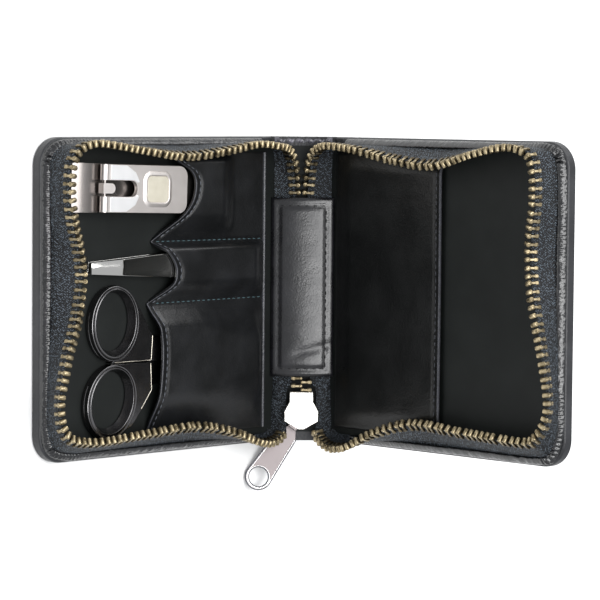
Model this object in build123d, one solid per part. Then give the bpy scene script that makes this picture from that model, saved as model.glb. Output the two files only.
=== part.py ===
from build123d import *
import math
import os

# A zip-round leather manicure case, standing half open: the left cover lies flat, the spine rises
# from it at FOLD and the right cover rises from the spine at FOLD again. Millimetres, +Z up.
# Each cover has its own axes: u from its fold to its free edge, v along the fold, h up from the
# outer leather face. The spine has p across it, v along the folds and q up from its outer face.

# Case
COVER_W = 104.0
COVER_H = 103.0
SPINE_W = 21.5
FOLD = 45.0
CORNER_R = 9.0
LEATHER = 1.5
BOARD = 1.2
PADDING = 0.7
LINING = 0.5
LINING_TOP = LEATHER + BOARD + PADDING + LINING
RIM_W = 3.0
FOLD_GAP = 1.0
RIM_START = 5.5
SPINE_LINING = 0.7
SPINE_LINING_INSET = 2.7
SPINE_RIM = 3.0

# Zip: a metal chain of 10 teeth to the inch
PITCH = 2.54
TOOTH_L = 4.1
TOOTH_LEG_W = 1.1
TOOTH_HEAD_R = 0.95
TOOTH_T = 2.6
TOOTH_SLOT = 1.4
TOOTH_GRIP = 2.2
TAPE_SETBACK = 0.35
TAPE_T = 0.6
MESHED_HEAD_R = 0.57
MESHED_L = 3.5
MESHED_REACH = 0.3
MESHED_COUNT = 10
MESHED_START_V = -27.5
MESHED_Q = 5.0

# Slider and puller
SLIDER_P = 10.75
SLIDER_TAIL_V = -34.5
SLIDER_SHOULDER_V = -41.0
SLIDER_CHEEK_V = -44.3
SLIDER_POINT_V = -47.0
SLIDER_TAIL_HALF = 3.9
SLIDER_HALF = 5.65
SLIDER_PLATE = 0.8
SLIDER_LOW_Q = 4.8
CHANNEL = 2.8
SLIDER_FLANGE = 0.6
FLANGE_GAP = 1.1
CHAIN_Q = SLIDER_LOW_Q + SLIDER_PLATE + CHANNEL / 2
CROWN_H, CROWN_BAR, CROWN_HALF, CROWN_L, CROWN_LEG_R = 2.3, 0.6, 0.9, 6.0, 0.8
EYE_V, EYE_R, EYE_HOLE_R = -42.75, 2.4, 1.1
NECK_L, NECK_W, NECK_T = 5.5, 3.2, 0.8
PULLER_NEAR_W, PULLER_END_W, PULLER_T = 6.8, 8.8, 1.4
PULLER_HOLE_R = 3.3
PULLER_TIP = (42.7, -67.0, 2.25)

# Patch over the zip's ends
PATCH_W = 21.2
PATCH_TOP_V = 31.0
PATCH_LOW_V = -29.4
PATCH_T = 1.0
PATCH_EDGE_Q = 4.95
PATCH_CROWN_Q = 6.5
STAY_HALF = 7.5
STAY_LOW_V, STAY_TOP_V = -25.0, 28.0

# Pockets
POCKET_T = 0.9
POCKET_INNER_U = 6.5
POCKET_V = 46.2
POCKET_ROOM_TOP = 8.3
ROOM_TAPER = 18
CARD_MOUTH_U = 52.2
CARD_INNER_U = 4.0
CARD_ROOM = 1.2

# Tools, lying TOOL_LIFT above the lining
TOOL_LIFT = 0.2
TOOL_H = LINING_TOP + TOOL_LIFT
CLIPPER_HEAD_U, CLIPPER_HEAD_V = 94.6, 35.8
CLIPPER_TURN = 1.7
CLIPPER_L = 63.0
CLIPPER_W = 15.6
LEAF_T = 1.2
POST_X = 13.0
POST_R = 1.6
FULCRUM_X, FULCRUM_H, FULCRUM_R = 11.2, 10.9, 0.75
LEVER_L = 36.0
LEVER_W = 15.2
LEVER_SLOT_W, LEVER_SLOT_L = 5.2, 13.0
LEVER_SLOPE = 2.2
LABEL_W, LABEL_L, LABEL_T, LABEL_X = 8.4, 9.6, 0.5, 22.5
RIVET_X, RIVET_R = 58.5, 1.3
FIT = 0.05

TWEEZER_TIP_U, TWEEZER_TAIL_U = 85.4, 10.5
TWEEZER_V = 10.0
TWEEZER_LEG = 1.0
TWEEZER_GAP = 3.0
TWEEZER_HINGE_U = 13.5

SCISSOR_PIVOT = (37.0, -21.0)
SCISSOR_LAYER = 1.5
SCISSOR_GAP = 0.1
RING_T = 2 * SCISSOR_LAYER + SCISSOR_GAP
SCREW_R, SCREW_HEAD_R, SCREW_HEAD_H = 1.5, 2.6, 0.6

HINGE_X = COVER_W / 2
SINE, COSINE = math.sin(math.radians(FOLD)), math.cos(math.radians(FOLD))
RIGHT_X = HINGE_X + SPINE_W * COSINE + LEATHER
RIGHT_Z = LEATHER + SPINE_W * SINE
SPINE_AXES = Plane(
    origin=(HINGE_X + LEATHER * SINE, 0, LEATHER - LEATHER * COSINE),
    x_dir=(COSINE, 0, SINE),
    z_dir=(-SINE, 0, COSINE),
)
RIGHT_AXES = Plane(origin=(RIGHT_X, 0, RIGHT_Z), x_dir=(0, 0, 1), z_dir=(-1, 0, 0))

# The chain's route in a cover's axes, from the patch over the upper fold, round the cover's three
# open sides and over the lower fold to the slider. Each station is the tooth tip's u, v and h and
# the u and v where the tape leaves the lining. A long wall leans where the tape is pulled inward.
LEFT_UPPER_END = [
    (-5.0, 32.8, 10.8, 0.8, 32.8), (-4.0, 38.0, 11.3, 0.8, 38.0), (-2.4, 42.7, 12.0, 0.8, 42.5),
    (-0.9, 44.7, 12.4, 1.0, 45.2), (1.6, 46.8, 13.2, 1.8, 47.4), (4.1, 47.6, 14.2, 3.8, 48.6),
]
LEFT_WALL = [
    (8.0, 48.2, 15.4, 8.0, 49.0), (19.0, 49.1, 16.0, 19.0, 49.0), (33.0, 46.7, 15.9, 33.0, 49.0),
    (50.5, 44.8, 15.4, 50.5, 49.0), (68.5, 46.9, 15.9, 68.5, 49.0), (81.5, 48.9, 16.1, 81.5, 49.0),
    (90.0, 49.7, 16.1, 90.0, 49.0), (96.0, 48.0, 16.1, 97.0, 48.4), (99.2, 44.0, 16.0, 101.0, 44.8),
    (100.3, 38.0, 16.1, 101.5, 38.4), (100.2, 32.0, 16.1, 101.5, 32.0), (98.2, 24.8, 15.6, 101.5, 25.0),
    (94.4, 17.9, 13.8, 101.5, 18.0), (91.7, 10.0, 12.6, 101.5, 10.0), (91.7, 5.3, 12.6, 101.5, 5.3),
    (93.9, -2.5, 13.6, 101.5, -2.5), (97.3, -8.9, 15.3, 101.5, -9.0), (101.0, -16.0, 16.1, 101.5, -16.0),
    (103.1, -23.8, 16.0, 101.5, -24.0), (104.6, -31.0, 15.7, 101.5, -32.0),
    (103.6, -38.4, 15.9, 101.5, -40.5), (99.8, -42.2, 15.9, 99.4, -47.0), (92.5, -43.7, 15.0, 92.5, -49.0),
    (84.2, -44.0, 15.0, 84.2, -49.0), (66.6, -42.8, 14.5, 66.6, -49.0), (44.0, -41.9, 13.9, 44.0, -49.0),
    (28.0, -45.4, 15.2, 27.5, -49.0), (17.7, -49.7, 14.3, 17.0, -49.0),
]
LEFT_LOWER_END = [
    (12.2, -51.2, 13.2, 11.0, -49.0), (8.0, -51.5, 12.2, 7.6, -48.9), (3.3, -50.7, 11.2, 5.0, -48.6),
    (0.7, -49.2, 10.6, 3.8, -48.0), (-0.9, -47.6, 10.3, 3.2, -47.2),
]
RIGHT_UPPER_END = [
    (-5.7, 32.8, 11.6, 0.8, 32.8), (-4.5, 38.8, 12.1, 0.8, 38.6), (-2.7, 43.5, 12.7, 0.9, 43.8),
    (-0.9, 45.8, 13.0, 1.2, 46.0), (1.2, 47.2, 13.5, 2.2, 47.6), (4.5, 48.2, 14.4, 4.6, 48.8),
]
RIGHT_WALL = [
    (8.6, 48.6, 15.3, 8.6, 49.0), (20.8, 47.5, 16.0, 20.8, 49.0), (38.0, 43.9, 15.0, 38.0, 49.0),
    (54.7, 42.3, 14.1, 54.7, 49.0), (73.4, 46.9, 15.9, 73.4, 49.0), (86.1, 49.5, 16.1, 86.1, 49.0),
    (94.3, 48.2, 16.1, 95.8, 48.8), (97.2, 44.2, 15.5, 100.6, 45.6), (98.3, 33.4, 15.7, 101.5, 33.4),
    (96.2, 22.5, 14.9, 101.5, 22.5), (95.3, 14.5, 14.3, 101.5, 14.5), (98.0, 2.1, 15.6, 101.5, 2.1),
    (102.7, -13.2, 16.1, 101.5, -13.2), (105.2, -25.5, 15.5, 101.5, -25.5),
    (105.6, -32.3, 15.4, 101.5, -33.5), (103.4, -37.8, 15.7, 101.5, -40.5),
    (99.6, -41.0, 15.4, 99.4, -47.0), (93.6, -42.3, 14.3, 93.6, -49.0), (68.4, -41.3, 13.5, 68.4, -49.0),
    (45.8, -40.3, 12.6, 45.8, -49.0), (30.7, -45.0, 15.3, 30.7, -49.0), (19.1, -51.2, 15.4, 18.6, -49.0),
]
RIGHT_LOWER_END = [
    (13.0, -52.7, 14.2, 12.2, -49.0), (8.6, -53.1, 13.2, 8.4, -48.9), (3.3, -51.7, 12.0, 5.0, -48.6),
    (0.1, -50.0, 11.2, 3.8, -48.0), (-1.5, -47.8, 10.6, 3.2, -47.2),
]


def on_left(shape):
    """A shape drawn in a cover's axes, laid in place as the left cover's."""
    return Pos(HINGE_X, 0, 0) * mirror(shape, about=Plane.YZ)


def on_right(shape):
    """A shape drawn in a cover's axes, laid in place as the right cover's."""
    return RIGHT_AXES.location * shape


def on_spine(shape):
    """A shape drawn in the spine's axes, laid in place."""
    return SPINE_AXES.location * shape


def slab(outline, low, high):
    """A flat outline made solid from one height to another."""
    return Pos(0, 0, low) * extrude(outline, high - low)


def box(a, b):
    """A block between two corners."""
    size = [abs(b[i] - a[i]) for i in range(3)]
    return Pos(*[(a[i] + b[i]) / 2 for i in range(3)]) * Box(*size)


def across(points, low, high):
    """A profile of (x, height) points made solid from one y to another."""
    face = make_face(Polyline(*[(x, 0, z) for x, z in points], close=True))
    return extrude(face, high - low, dir=(0, 1, 0)).translate((0, low, 0))


def round_pin(radius, low, high, x=0.0, y=0.0):
    """An upright pin between two heights."""
    return Pos(x, y, (low + high) / 2) * Cylinder(radius, high - low)


# Covers and spine


def cover_outline(inset, start):
    """A cover's outline from the fold side at u = start, its free corners rounded."""
    width = COVER_W - inset - start
    sheet = Pos(start + width / 2, 0) * Rectangle(width, COVER_H - 2 * inset)
    corners = sheet.vertices().sort_by(Axis.X)[-2:]
    return fillet(corners, CORNER_R - inset)


def cover_leather():
    """The outer leather: a sheet with a turned-in rim on the three open sides."""
    sheet = slab(cover_outline(0, 0), 0, LEATHER)
    rim = slab(cover_outline(0, RIM_START) - cover_outline(RIM_W, 0), LEATHER, LINING_TOP)
    return sheet + rim


def cover_layer(low, high):
    """One of the layers inside the rim."""
    return slab(cover_outline(RIM_W, FOLD_GAP), low, high)


def spine_leather():
    """The spine's leather, with its two short ends turned in."""
    half = COVER_H / 2
    sheet = box((0, -half, 0), (SPINE_W, half, LEATHER))
    inner = (SPINE_LINING_INSET, SPINE_W - SPINE_LINING_INSET)
    rim = box((inner[0], half - SPINE_RIM, LEATHER), (inner[1], half, LEATHER + SPINE_LINING))
    return sheet + rim + mirror(rim, about=Plane.XZ)


def spine_lining():
    """The lining on the spine between its turned-in ends."""
    half = COVER_H / 2 - SPINE_RIM
    return box(
        (SPINE_LINING_INSET, -half, LEATHER),
        (SPINE_W - SPINE_LINING_INSET, half, LEATHER + SPINE_LINING),
    )


def fold_leather():
    """The bend of the outer leather at a fold, a wedge round the fold's axis."""
    wedge = make_face(
        Polyline((0, 0, LEATHER), (0, 0, 0))
        + ThreePointArc(
            (0, 0, 0),
            (LEATHER * math.sin(math.radians(FOLD / 2)), 0, LEATHER * (1 - math.cos(math.radians(FOLD / 2)))),
            (LEATHER * SINE, 0, LEATHER * (1 - COSINE)),
        )
        + Line((LEATHER * SINE, 0, LEATHER * (1 - COSINE)), (0, 0, LEATHER))
    )
    solid = extrude(wedge, COVER_H, dir=(0, 1, 0))
    return solid.translate((0, -COVER_H / 2, 0))


def fold_lining():
    """The strip of lining that crosses a fold, from the cover's lining to the spine's."""
    on_cover = [(-FOLD_GAP, LINING_TOP - LINING), (-FOLD_GAP, LINING_TOP)]
    spine_edge = []
    for q in (LEATHER + SPINE_LINING, LEATHER + 0.1):
        p, rise = SPINE_LINING_INSET, q - LEATHER
        spine_edge.append((p * COSINE - rise * SINE, LEATHER + p * SINE + rise * COSINE))
    half = COVER_H / 2 - RIM_W
    return across(on_cover + spine_edge, -half, half)


def right_fold_location(shape):
    """A left-fold shape turned over to the right fold."""
    middle = SPINE_AXES.location * Pos(SPINE_W / 2, 0, 0)
    plane = Plane(origin=middle.position, x_dir=(0, 1, 0), z_dir=(COSINE, 0, SINE))
    return mirror(Pos(HINGE_X, 0, 0) * shape, about=plane)


# Zip


def blend_points(a, b, c, d, t):
    """A point between b and c on a smooth curve through a, b, c and d."""
    return tuple(
        0.5
        * (
            2 * b[i]
            + (c[i] - a[i]) * t
            + (2 * a[i] - 5 * b[i] + 4 * c[i] - d[i]) * t**2
            + (3 * b[i] - a[i] - 3 * c[i] + d[i]) * t**3
        )
        for i in range(5)
    )


def chain_places(stations, count_from, count_to):
    """Tip, base and travel direction of each tooth on the part of a route that the counts name."""
    steps = 24
    route = []
    for i in range(len(stations) - 1):
        a, b = stations[max(i - 1, 0)], stations[i]
        c, d = stations[i + 1], stations[min(i + 2, len(stations) - 1)]
        inside = count_from <= i < count_to
        route += [(blend_points(a, b, c, d, k / steps), inside) for k in range(steps)]
    places, travelled, due = [], 0.0, 0.0
    for (here, inside), (ahead, _) in zip(route, route[1:]):
        tip, following = Vector(*here[:3]), Vector(*ahead[:3])
        if travelled >= due:
            due += PITCH
            if inside:
                base = Vector(here[3], here[4], LINING_TOP)
                places.append((tip, base, (following - tip).normalized()))
        travelled += (following - tip).length
    return places


def side_chain(upper, wall, lower):
    """The tooth places of one side's upper end, wall and lower end."""
    stations = upper + wall + lower
    first, last = len(upper), len(upper) + len(wall) - 1
    return (
        chain_places(stations, 0, first),
        chain_places(stations, first, last),
        chain_places(stations, last, len(stations)),
    )


def tooth(head_r=TOOTH_HEAD_R, length=TOOTH_L):
    """One tooth: a round head and two legs over the tape, its tip at the origin, legs along -X."""
    leg = Pos(-(length + head_r) / 2, 0) * Rectangle(length - head_r, TOOTH_LEG_W)
    solid = slab(leg + Pos(-head_r, 0) * Circle(head_r), -TOOTH_T / 2, TOOTH_T / 2)
    return solid - box(
        (-length - 1, -TOOTH_LEG_W, -TOOTH_SLOT / 2), (TOOTH_GRIP - length, TOOTH_LEG_W, TOOTH_SLOT / 2)
    )


def chain_teeth(places):
    """A tooth at each place, square to the tape."""
    master = tooth()
    teeth = []
    for tip, base, ahead in places:
        out = (tip - base).normalized()
        teeth.append(Plane(origin=tip, x_dir=out, z_dir=ahead.cross(out)).location * master)
    return teeth


def tape(places):
    """The strip of tape under a run of teeth, sewn down at its base."""
    corners = [[], [], [], []]
    for tip, base, ahead in places:
        out = (tip - base).normalized()
        side = ahead.cross(out).normalized() * (TAPE_T / 2)
        flat = Vector(side.X, side.Y, 0).normalized() * (TAPE_T / 2)
        edge = tip - out * (TOOTH_L - TOOTH_GRIP + TAPE_SETBACK)
        for corner, point in zip(corners, (base - flat, base + flat, edge + side, edge - side)):
            corner.append(point)
    rails = [Edge.make_spline(corner) for corner in corners]
    faces = [Face.make_surface_from_curves(rails[i], rails[(i + 1) % 4]) for i in range(4)]
    for end in (0, -1):
        a, b, c, d = (corner[end] for corner in corners)
        faces.append(Face.make_surface_from_curves(Edge.make_line(a, b), Edge.make_line(d, c)))
    solid = Solid(Shell(faces))
    return solid if solid.volume > 0 else Solid(solid.wrapped.Reversed())


def group(solids):
    """Separate solids kept together as one node."""
    return Compound(children=list(solids))


def meshed_q(v):
    """Height of the closed chain's middle, rising from the patch to the slider."""
    share = (PATCH_LOW_V - v) / (PATCH_LOW_V - SLIDER_TAIL_V)
    return MESHED_Q + (CHAIN_Q - MESHED_Q) * min(max(share, 0), 1)


def meshed_teeth():
    """The few teeth that stay closed between the patch and the slider."""
    master = tooth(MESHED_HEAD_R, MESHED_L)
    teeth = []
    for i in range(MESHED_COUNT):
        v = MESHED_START_V - i * PITCH / 2
        side = 1 if i % 2 else -1
        turn = Rot(0, 0, 180 if side > 0 else 0)
        teeth.append(Pos(SLIDER_P - side * MESHED_REACH, v, meshed_q(v)) * turn * master)
    return [on_spine(t) for t in teeth]


def slider_tape():
    """The two tape edges beside the closed chain, through the slider's side slots."""
    thick = 0.5
    line = [(-26.0, MESHED_Q), (PATCH_LOW_V, MESHED_Q), (SLIDER_TAIL_V, CHAIN_Q), (-45.6, CHAIN_Q)]
    points = [(v, q + thick / 2) for v, q in line] + [(v, q - thick / 2) for v, q in reversed(line)]
    face = make_face(Polyline(*[(0, v, q) for v, q in points], close=True))
    near = MESHED_L - TOOTH_GRIP + TAPE_SETBACK - MESHED_REACH
    strips = []
    for side in (-1, 1):
        strip = extrude(face, 5.6, dir=(side, 0, 0)).translate((SLIDER_P + side * near, 0, 0))
        strips.append(on_spine(strip))
    return strips


# Slider


def slider_outline(inset=0.0):
    """The slider's shield shape: a waist at the tail, wide cheeks and a blunt point."""
    tail, wide = SLIDER_TAIL_HALF - inset, SLIDER_HALF - inset
    half = [
        (tail, SLIDER_TAIL_V - inset), (tail, SLIDER_TAIL_V - 3.2), (wide, SLIDER_SHOULDER_V),
        (wide, SLIDER_CHEEK_V), (0.9, SLIDER_POINT_V + inset),
    ]
    points = [(x, y) for x, y in half] + [(-x, y) for x, y in reversed(half)]
    return Pos(SLIDER_P, 0) * make_face(Polyline(*points, close=True))


def slider_body():
    """Two shields held apart by the wedge that parts the chain, with lips along the sides."""
    low = SLIDER_LOW_Q
    high = low + SLIDER_PLATE + CHANNEL
    body = slab(slider_outline(), low, low + SLIDER_PLATE)
    body += slab(slider_outline(), high, high + SLIDER_PLATE)
    lip_h = (CHANNEL - FLANGE_GAP) / 2
    lips = slider_outline() - slider_outline(SLIDER_FLANGE)
    sides = Pos(SLIDER_P, (SLIDER_CHEEK_V + SLIDER_TAIL_V) / 2)
    keep = sides * Rectangle(4 * SLIDER_HALF, SLIDER_TAIL_V - SLIDER_CHEEK_V)
    keep -= sides * Rectangle(2 * (SLIDER_TAIL_HALF - SLIDER_FLANGE), 20)
    lips = lips & keep
    body += slab(lips, low + SLIDER_PLATE, low + SLIDER_PLATE + lip_h)
    body += slab(lips, high - lip_h, high)
    wedge = Pos(SLIDER_P, -43.6) * make_face(
        Polyline((0, 2.4), (1.0, 0), (0.7, -2.2), (-0.7, -2.2), (-1.0, 0), close=True)
    )
    return on_spine(body + slab(wedge, low + SLIDER_PLATE, high))


def slider_crown():
    """The bail on the slider's outer face: a bar on two legs, the puller's eye on the front one."""
    low, top = SLIDER_LOW_Q - CROWN_H, SLIDER_LOW_Q
    bar = box(
        (SLIDER_P - CROWN_HALF, EYE_V - CROWN_LEG_R, low),
        (SLIDER_P + CROWN_HALF, EYE_V + CROWN_L, low + CROWN_BAR),
    )
    rear = box(
        (SLIDER_P - CROWN_HALF, EYE_V + CROWN_L - 1.0, low + CROWN_BAR),
        (SLIDER_P + CROWN_HALF, EYE_V + CROWN_L, top),
    )
    return on_spine(bar + rear + round_pin(CROWN_LEG_R, low, top, SLIDER_P, EYE_V))


def puller():
    """A flat puller lying over: a level neck on the crown, then a blade bent down to a holed end."""
    up = SPINE_AXES.z_dir
    eye = SPINE_AXES.from_local_coords(Vector(SLIDER_P, EYE_V, SLIDER_LOW_Q - (CROWN_H - CROWN_BAR) / 2))
    tip = Vector(*PULLER_TIP)
    level = ((tip - eye) - up * (tip - eye).dot(up)).normalized()
    bend = eye + level * NECK_L
    along = tip - bend
    length, end = along.length, PULLER_END_W / 2
    neck = Circle(EYE_R) + Pos(NECK_L / 2, 0) * Rectangle(NECK_L + 1.0, NECK_W) - Circle(EYE_HOLE_R)
    blade = make_face(
        Polyline(
            (0, NECK_W / 2), (3, PULLER_NEAR_W / 2), (length - end, end),
            (length - end, -end), (3, -PULLER_NEAR_W / 2), (0, -NECK_W / 2), close=True,
        )
    )
    blade += Pos(length - end, 0) * Circle(end)
    blade -= Pos(length - end - 0.1, 0) * Circle(PULLER_HOLE_R)
    neck_plane = Plane(origin=eye, x_dir=level, z_dir=up)
    blade_plane = Plane(origin=bend, x_dir=along, z_dir=along.cross(up.cross(level)))
    neck_solid = neck_plane.location * slab(neck, -NECK_T / 2, NECK_T / 2)
    return neck_solid + blade_plane.location * slab(blade, -PULLER_T / 2, PULLER_T / 2)


# Pockets


def scallop(points):
    """A smooth stretch of a pocket's mouth."""
    return Edge.make_spline([Vector(u, v, 0) for u, v in points])


def tool_pocket_outline():
    """The tool pocket's face: straight at the fold, three scalloped mouths at the tools."""
    upper = scallop([(50.3, POCKET_V), (49.4, 43.6), (43.6, 40.2), (41.9, 35.4), (44.9, 28.3), (57.6, 17.6)])
    middle = scallop([(57.6, 17.6), (52.0, 12.2), (50.2, 7.6), (52.2, 2.4), (59.2, -2.5)])
    lower = scallop([(59.2, -2.5), (56.9, -11.0), (56.1, -19.0), (57.0, -30.5), (59.9, -POCKET_V)])
    bottom = Edge.make_line((59.9, -POCKET_V, 0), (POCKET_INNER_U, -POCKET_V, 0))
    inner = Edge.make_line((POCKET_INNER_U, -POCKET_V, 0), (POCKET_INNER_U, POCKET_V, 0))
    top = Edge.make_line((POCKET_INNER_U, POCKET_V, 0), (50.3, POCKET_V, 0))
    face = Face(Wire([upper, middle, lower, bottom, inner, top]))
    return face if face.normal_at().Z > 0 else -face


def room(inner_u, low_v, high_v, wall, height):
    """The space for one tool, or with a wall the leather round it, sides sloping in as it rises."""
    width = 70.0 - inner_u + wall
    foot = Pos(inner_u - wall + width / 2, (low_v + high_v) / 2) * Rectangle(
        width, high_v - low_v + 2 * wall
    )
    return Pos(0, 0, LINING_TOP) * extrude(foot, height - LINING_TOP, taper=ROOM_TAPER)


def tool_pocket():
    """The pocket sheet with three raised rooms, stitched down between them."""
    rooms = [(28.5, 24.6, 44.6), (9.6, 0.4, 15.9), (9.6, -44.6, -4.4)]
    face = tool_pocket_outline()
    solid = slab(face, LINING_TOP, LINING_TOP + POCKET_T)
    for inner_u, low_v, high_v in rooms:
        solid += room(inner_u, low_v, high_v, POCKET_T, POCKET_ROOM_TOP + POCKET_T)
    solid = solid & slab(face, LINING_TOP, POCKET_ROOM_TOP + 2)
    for inner_u, low_v, high_v in rooms:
        solid -= room(inner_u, low_v, high_v, 0, POCKET_ROOM_TOP)
    return on_left(solid)


def card_pocket():
    """The flat pocket on the right cover, open toward the free edge."""
    inside, seam = LINING_TOP + CARD_ROOM, 3.0
    low, high = CARD_INNER_U + seam, POCKET_V - seam
    outer = box((CARD_INNER_U, -POCKET_V, LINING_TOP), (CARD_MOUTH_U, POCKET_V, inside + POCKET_T))
    hollow = box((low, -high, LINING_TOP), (CARD_MOUTH_U + 1, high, inside))
    return on_right(outer - hollow)


def zip_end_patch():
    """The leather patch over the zip's ends, arched across the spine."""
    half = PATCH_W / 2
    under = [(-half, PATCH_EDGE_Q), (0, PATCH_CROWN_Q), (half, PATCH_EDGE_Q)]
    return on_spine(arched(under, PATCH_T, PATCH_LOW_V, PATCH_TOP_V))


def arched(under, thick, low_v, high_v):
    """A strip of even thickness over an arc of (p from the spine's middle, q) points."""
    lower = [(SPINE_W / 2 + p, low_v, q) for p, q in under]
    upper = [(p, v, q + thick) for p, v, q in lower]
    wire = Wire(
        [
            ThreePointArc(*lower).edge(),
            Line(lower[2], upper[2]).edge(),
            ThreePointArc(*reversed(upper)).edge(),
            Line(upper[0], lower[0]).edge(),
        ]
    )
    return extrude(Face(wire), high_v - low_v, dir=(0, 1, 0))


def patch_stay():
    """The stiffener under the patch, sewn to the spine's lining between the tape ends."""
    low, top = LEATHER + SPINE_LINING, PATCH_CROWN_Q - 0.05
    edge = PATCH_CROWN_Q - 1.1
    half = [(-STAY_HALF, low), (-STAY_HALF, edge), (0, top)]
    points = half + [(-p, q) for p, q in reversed(half[:2])]
    return on_spine(across([(SPINE_W / 2 + p, q) for p, q in points], STAY_LOW_V, STAY_TOP_V))


# Nail clipper, drawn with x from its jaws to its tail, then turned into the pocket


def on_clipper(shape):
    """A shape drawn along the clipper, laid in the left cover."""
    place = Pos(-CLIPPER_HEAD_U, CLIPPER_HEAD_V, 0) * Rot(0, 0, -CLIPPER_TURN)
    return Pos(HINGE_X, 0, 0) * place * shape


def leaf(profile):
    """A clipper leaf from its side profile, its tail corners rounded, with its two holes."""
    solid = across(profile, -CLIPPER_W / 2, CLIPPER_W / 2)
    plan = Pos(CLIPPER_L / 2, 0) * RectangleRounded(CLIPPER_L, CLIPPER_W, 1.2)
    solid = solid & slab(plan, 0, 20)
    solid -= round_pin(POST_R + FIT, 0, 20, POST_X)
    return on_clipper(solid - round_pin(RIVET_R, 0, 20, RIVET_X))


def clipper_lower_leaf():
    """The lower leaf, its cutting edge turned up at the head."""
    low = TOOL_H
    return leaf(
        [(CLIPPER_L, low), (4.0, low), (1.0, low + 0.7), (0, low + 2.3), (0.9, low + 2.3),
         (3.2, low + LEAF_T + 0.3), (5, low + LEAF_T), (CLIPPER_L, low + LEAF_T)]
    )


def clipper_upper_leaf():
    """The upper leaf, bowed up from the tail and turned down at the cutting edge."""
    low = TOOL_H + LEAF_T
    return leaf(
        [(CLIPPER_L, low + 0.02), (50, low + 0.3), (9, low + 2.6), (4.2, low + 2.6), (1.2, low + 1.3),
         (0.9, TOOL_H + 2.4), (0, TOOL_H + 2.4), (0.3, low + 2.4), (3.4, low + 3.8), (9, low + 3.8),
         (50, low + 1.5), (CLIPPER_L, low + 1.2)]
    )


def clipper_post():
    """The post through both leaves, with the hook that holds the lever's pin."""
    post = round_pin(POST_R, TOOL_H, FULCRUM_H + 1.5, POST_X)
    hook = box((FULCRUM_X - 1.6, -POST_R, FULCRUM_H - 0.9), (POST_X, POST_R, FULCRUM_H + 1.5))
    return on_clipper(post + hook - fulcrum_bore(FULCRUM_R))


def fulcrum_bore(radius):
    """The cross hole for the lever's pin."""
    return Pos(FULCRUM_X, 0, FULCRUM_H) * Rot(90, 0, 0) * Cylinder(radius, 2 * CLIPPER_W)


def fulcrum_pin():
    """The pin that the lever turns on, held in the post."""
    pin = Pos(FULCRUM_X, 0, FULCRUM_H) * Rot(90, 0, 0) * Cylinder(FULCRUM_R, LEVER_W + 0.4)
    return on_clipper(pin)


def clipper_rivet():
    """The rivet that joins the leaves at the tail."""
    return on_clipper(round_pin(RIVET_R, TOOL_H, TOOL_H + 2 * LEAF_T + 0.2, RIVET_X))


def on_lever(shape):
    """A shape drawn along the lever from its pin, sloping down to the tail."""
    return Pos(FULCRUM_X, 0, FULCRUM_H) * Rot(0, LEVER_SLOPE, 0) * shape


def clipper_lever():
    """The thumb lever, forked round the post, with a rounded tail."""
    plan = Pos(LEVER_L / 2, 0) * RectangleRounded(LEVER_L, LEVER_W, 3.4)
    plan += Pos(LEVER_L / 4, 0) * Rectangle(LEVER_L / 2, LEVER_W)
    slot = Pos(LEVER_SLOT_L / 2 - 2, 0) * Rectangle(LEVER_SLOT_L, LEVER_SLOT_W)
    slot += Pos(LEVER_SLOT_L - 2, 0) * Circle(LEVER_SLOT_W / 2)
    arm = across([(0, -1.0), (0, 1.2), (LEVER_L, 1.2), (LEVER_L, -0.3), (9, -0.3)], -LEVER_W / 2, LEVER_W / 2)
    arm = arm & slab(plan, -5, 5)
    arm += Rot(90, 0, 0) * Cylinder(1.35, LEVER_W)
    arm -= slab(slot + Pos(-2, 0) * Rectangle(4, LEVER_SLOT_W), -5, 5)
    arm -= Rot(90, 0, 0) * Cylinder(FULCRUM_R + FIT, 2 * LEVER_W)
    arm -= label(0.0)
    return on_clipper(on_lever(arm))


def label(proud=0.35):
    """The plain domed plate let into the lever."""
    plan = Pos(LABEL_X, 0) * RectangleRounded(LABEL_L, LABEL_W, 1.8)
    return slab(plan, 1.2 - LABEL_T, 1.2 + proud)


def clipper_label():
    """The plate laid in the lever's recess."""
    return on_clipper(on_lever(label()))


# Tweezers


def tweezer_outline():
    """The leg's face: a long taper from the tail's shoulders to the slanted tip."""
    v = TWEEZER_V
    points = [
        (TWEEZER_TIP_U, v - 2.0), (TWEEZER_TIP_U - 0.6, v + 1.9), (52, v + 4.0), (38, v + 4.3),
        (TWEEZER_TAIL_U + 1, v + 3.2), (TWEEZER_TAIL_U, v), (TWEEZER_TAIL_U + 1, v - 3.2),
        (38, v - 4.3), (52, v - 4.0),
    ]
    return make_face(Polyline(*points, close=True))


def tweezer_lower_leg():
    """The flat leg that lies in the pocket."""
    return on_left(slab(tweezer_outline(), TOOL_H, TOOL_H + TWEEZER_LEG))


def tweezer_upper_leg():
    """The leg that springs up from the tail."""
    low = TOOL_H + TWEEZER_LEG + FIT
    rise = TWEEZER_GAP
    profile = [
        (TWEEZER_TAIL_U - 1, low), (TWEEZER_HINGE_U, low), (TWEEZER_TIP_U + 1, low + rise),
        (TWEEZER_TIP_U + 1, low + rise + TWEEZER_LEG), (TWEEZER_HINGE_U, low + TWEEZER_LEG),
        (TWEEZER_TAIL_U - 1, low + TWEEZER_LEG),
    ]
    return on_left(across(profile, 0, 20) & slab(tweezer_outline(), 0, 20))


# Scissors


def ellipse_at(u, v, half_u, half_v, turn):
    """An ellipse in a cover's plane, turned by some degrees."""
    return Pos(u, v) * Rot(0, 0, turn) * Ellipse(half_u, half_v)


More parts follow.
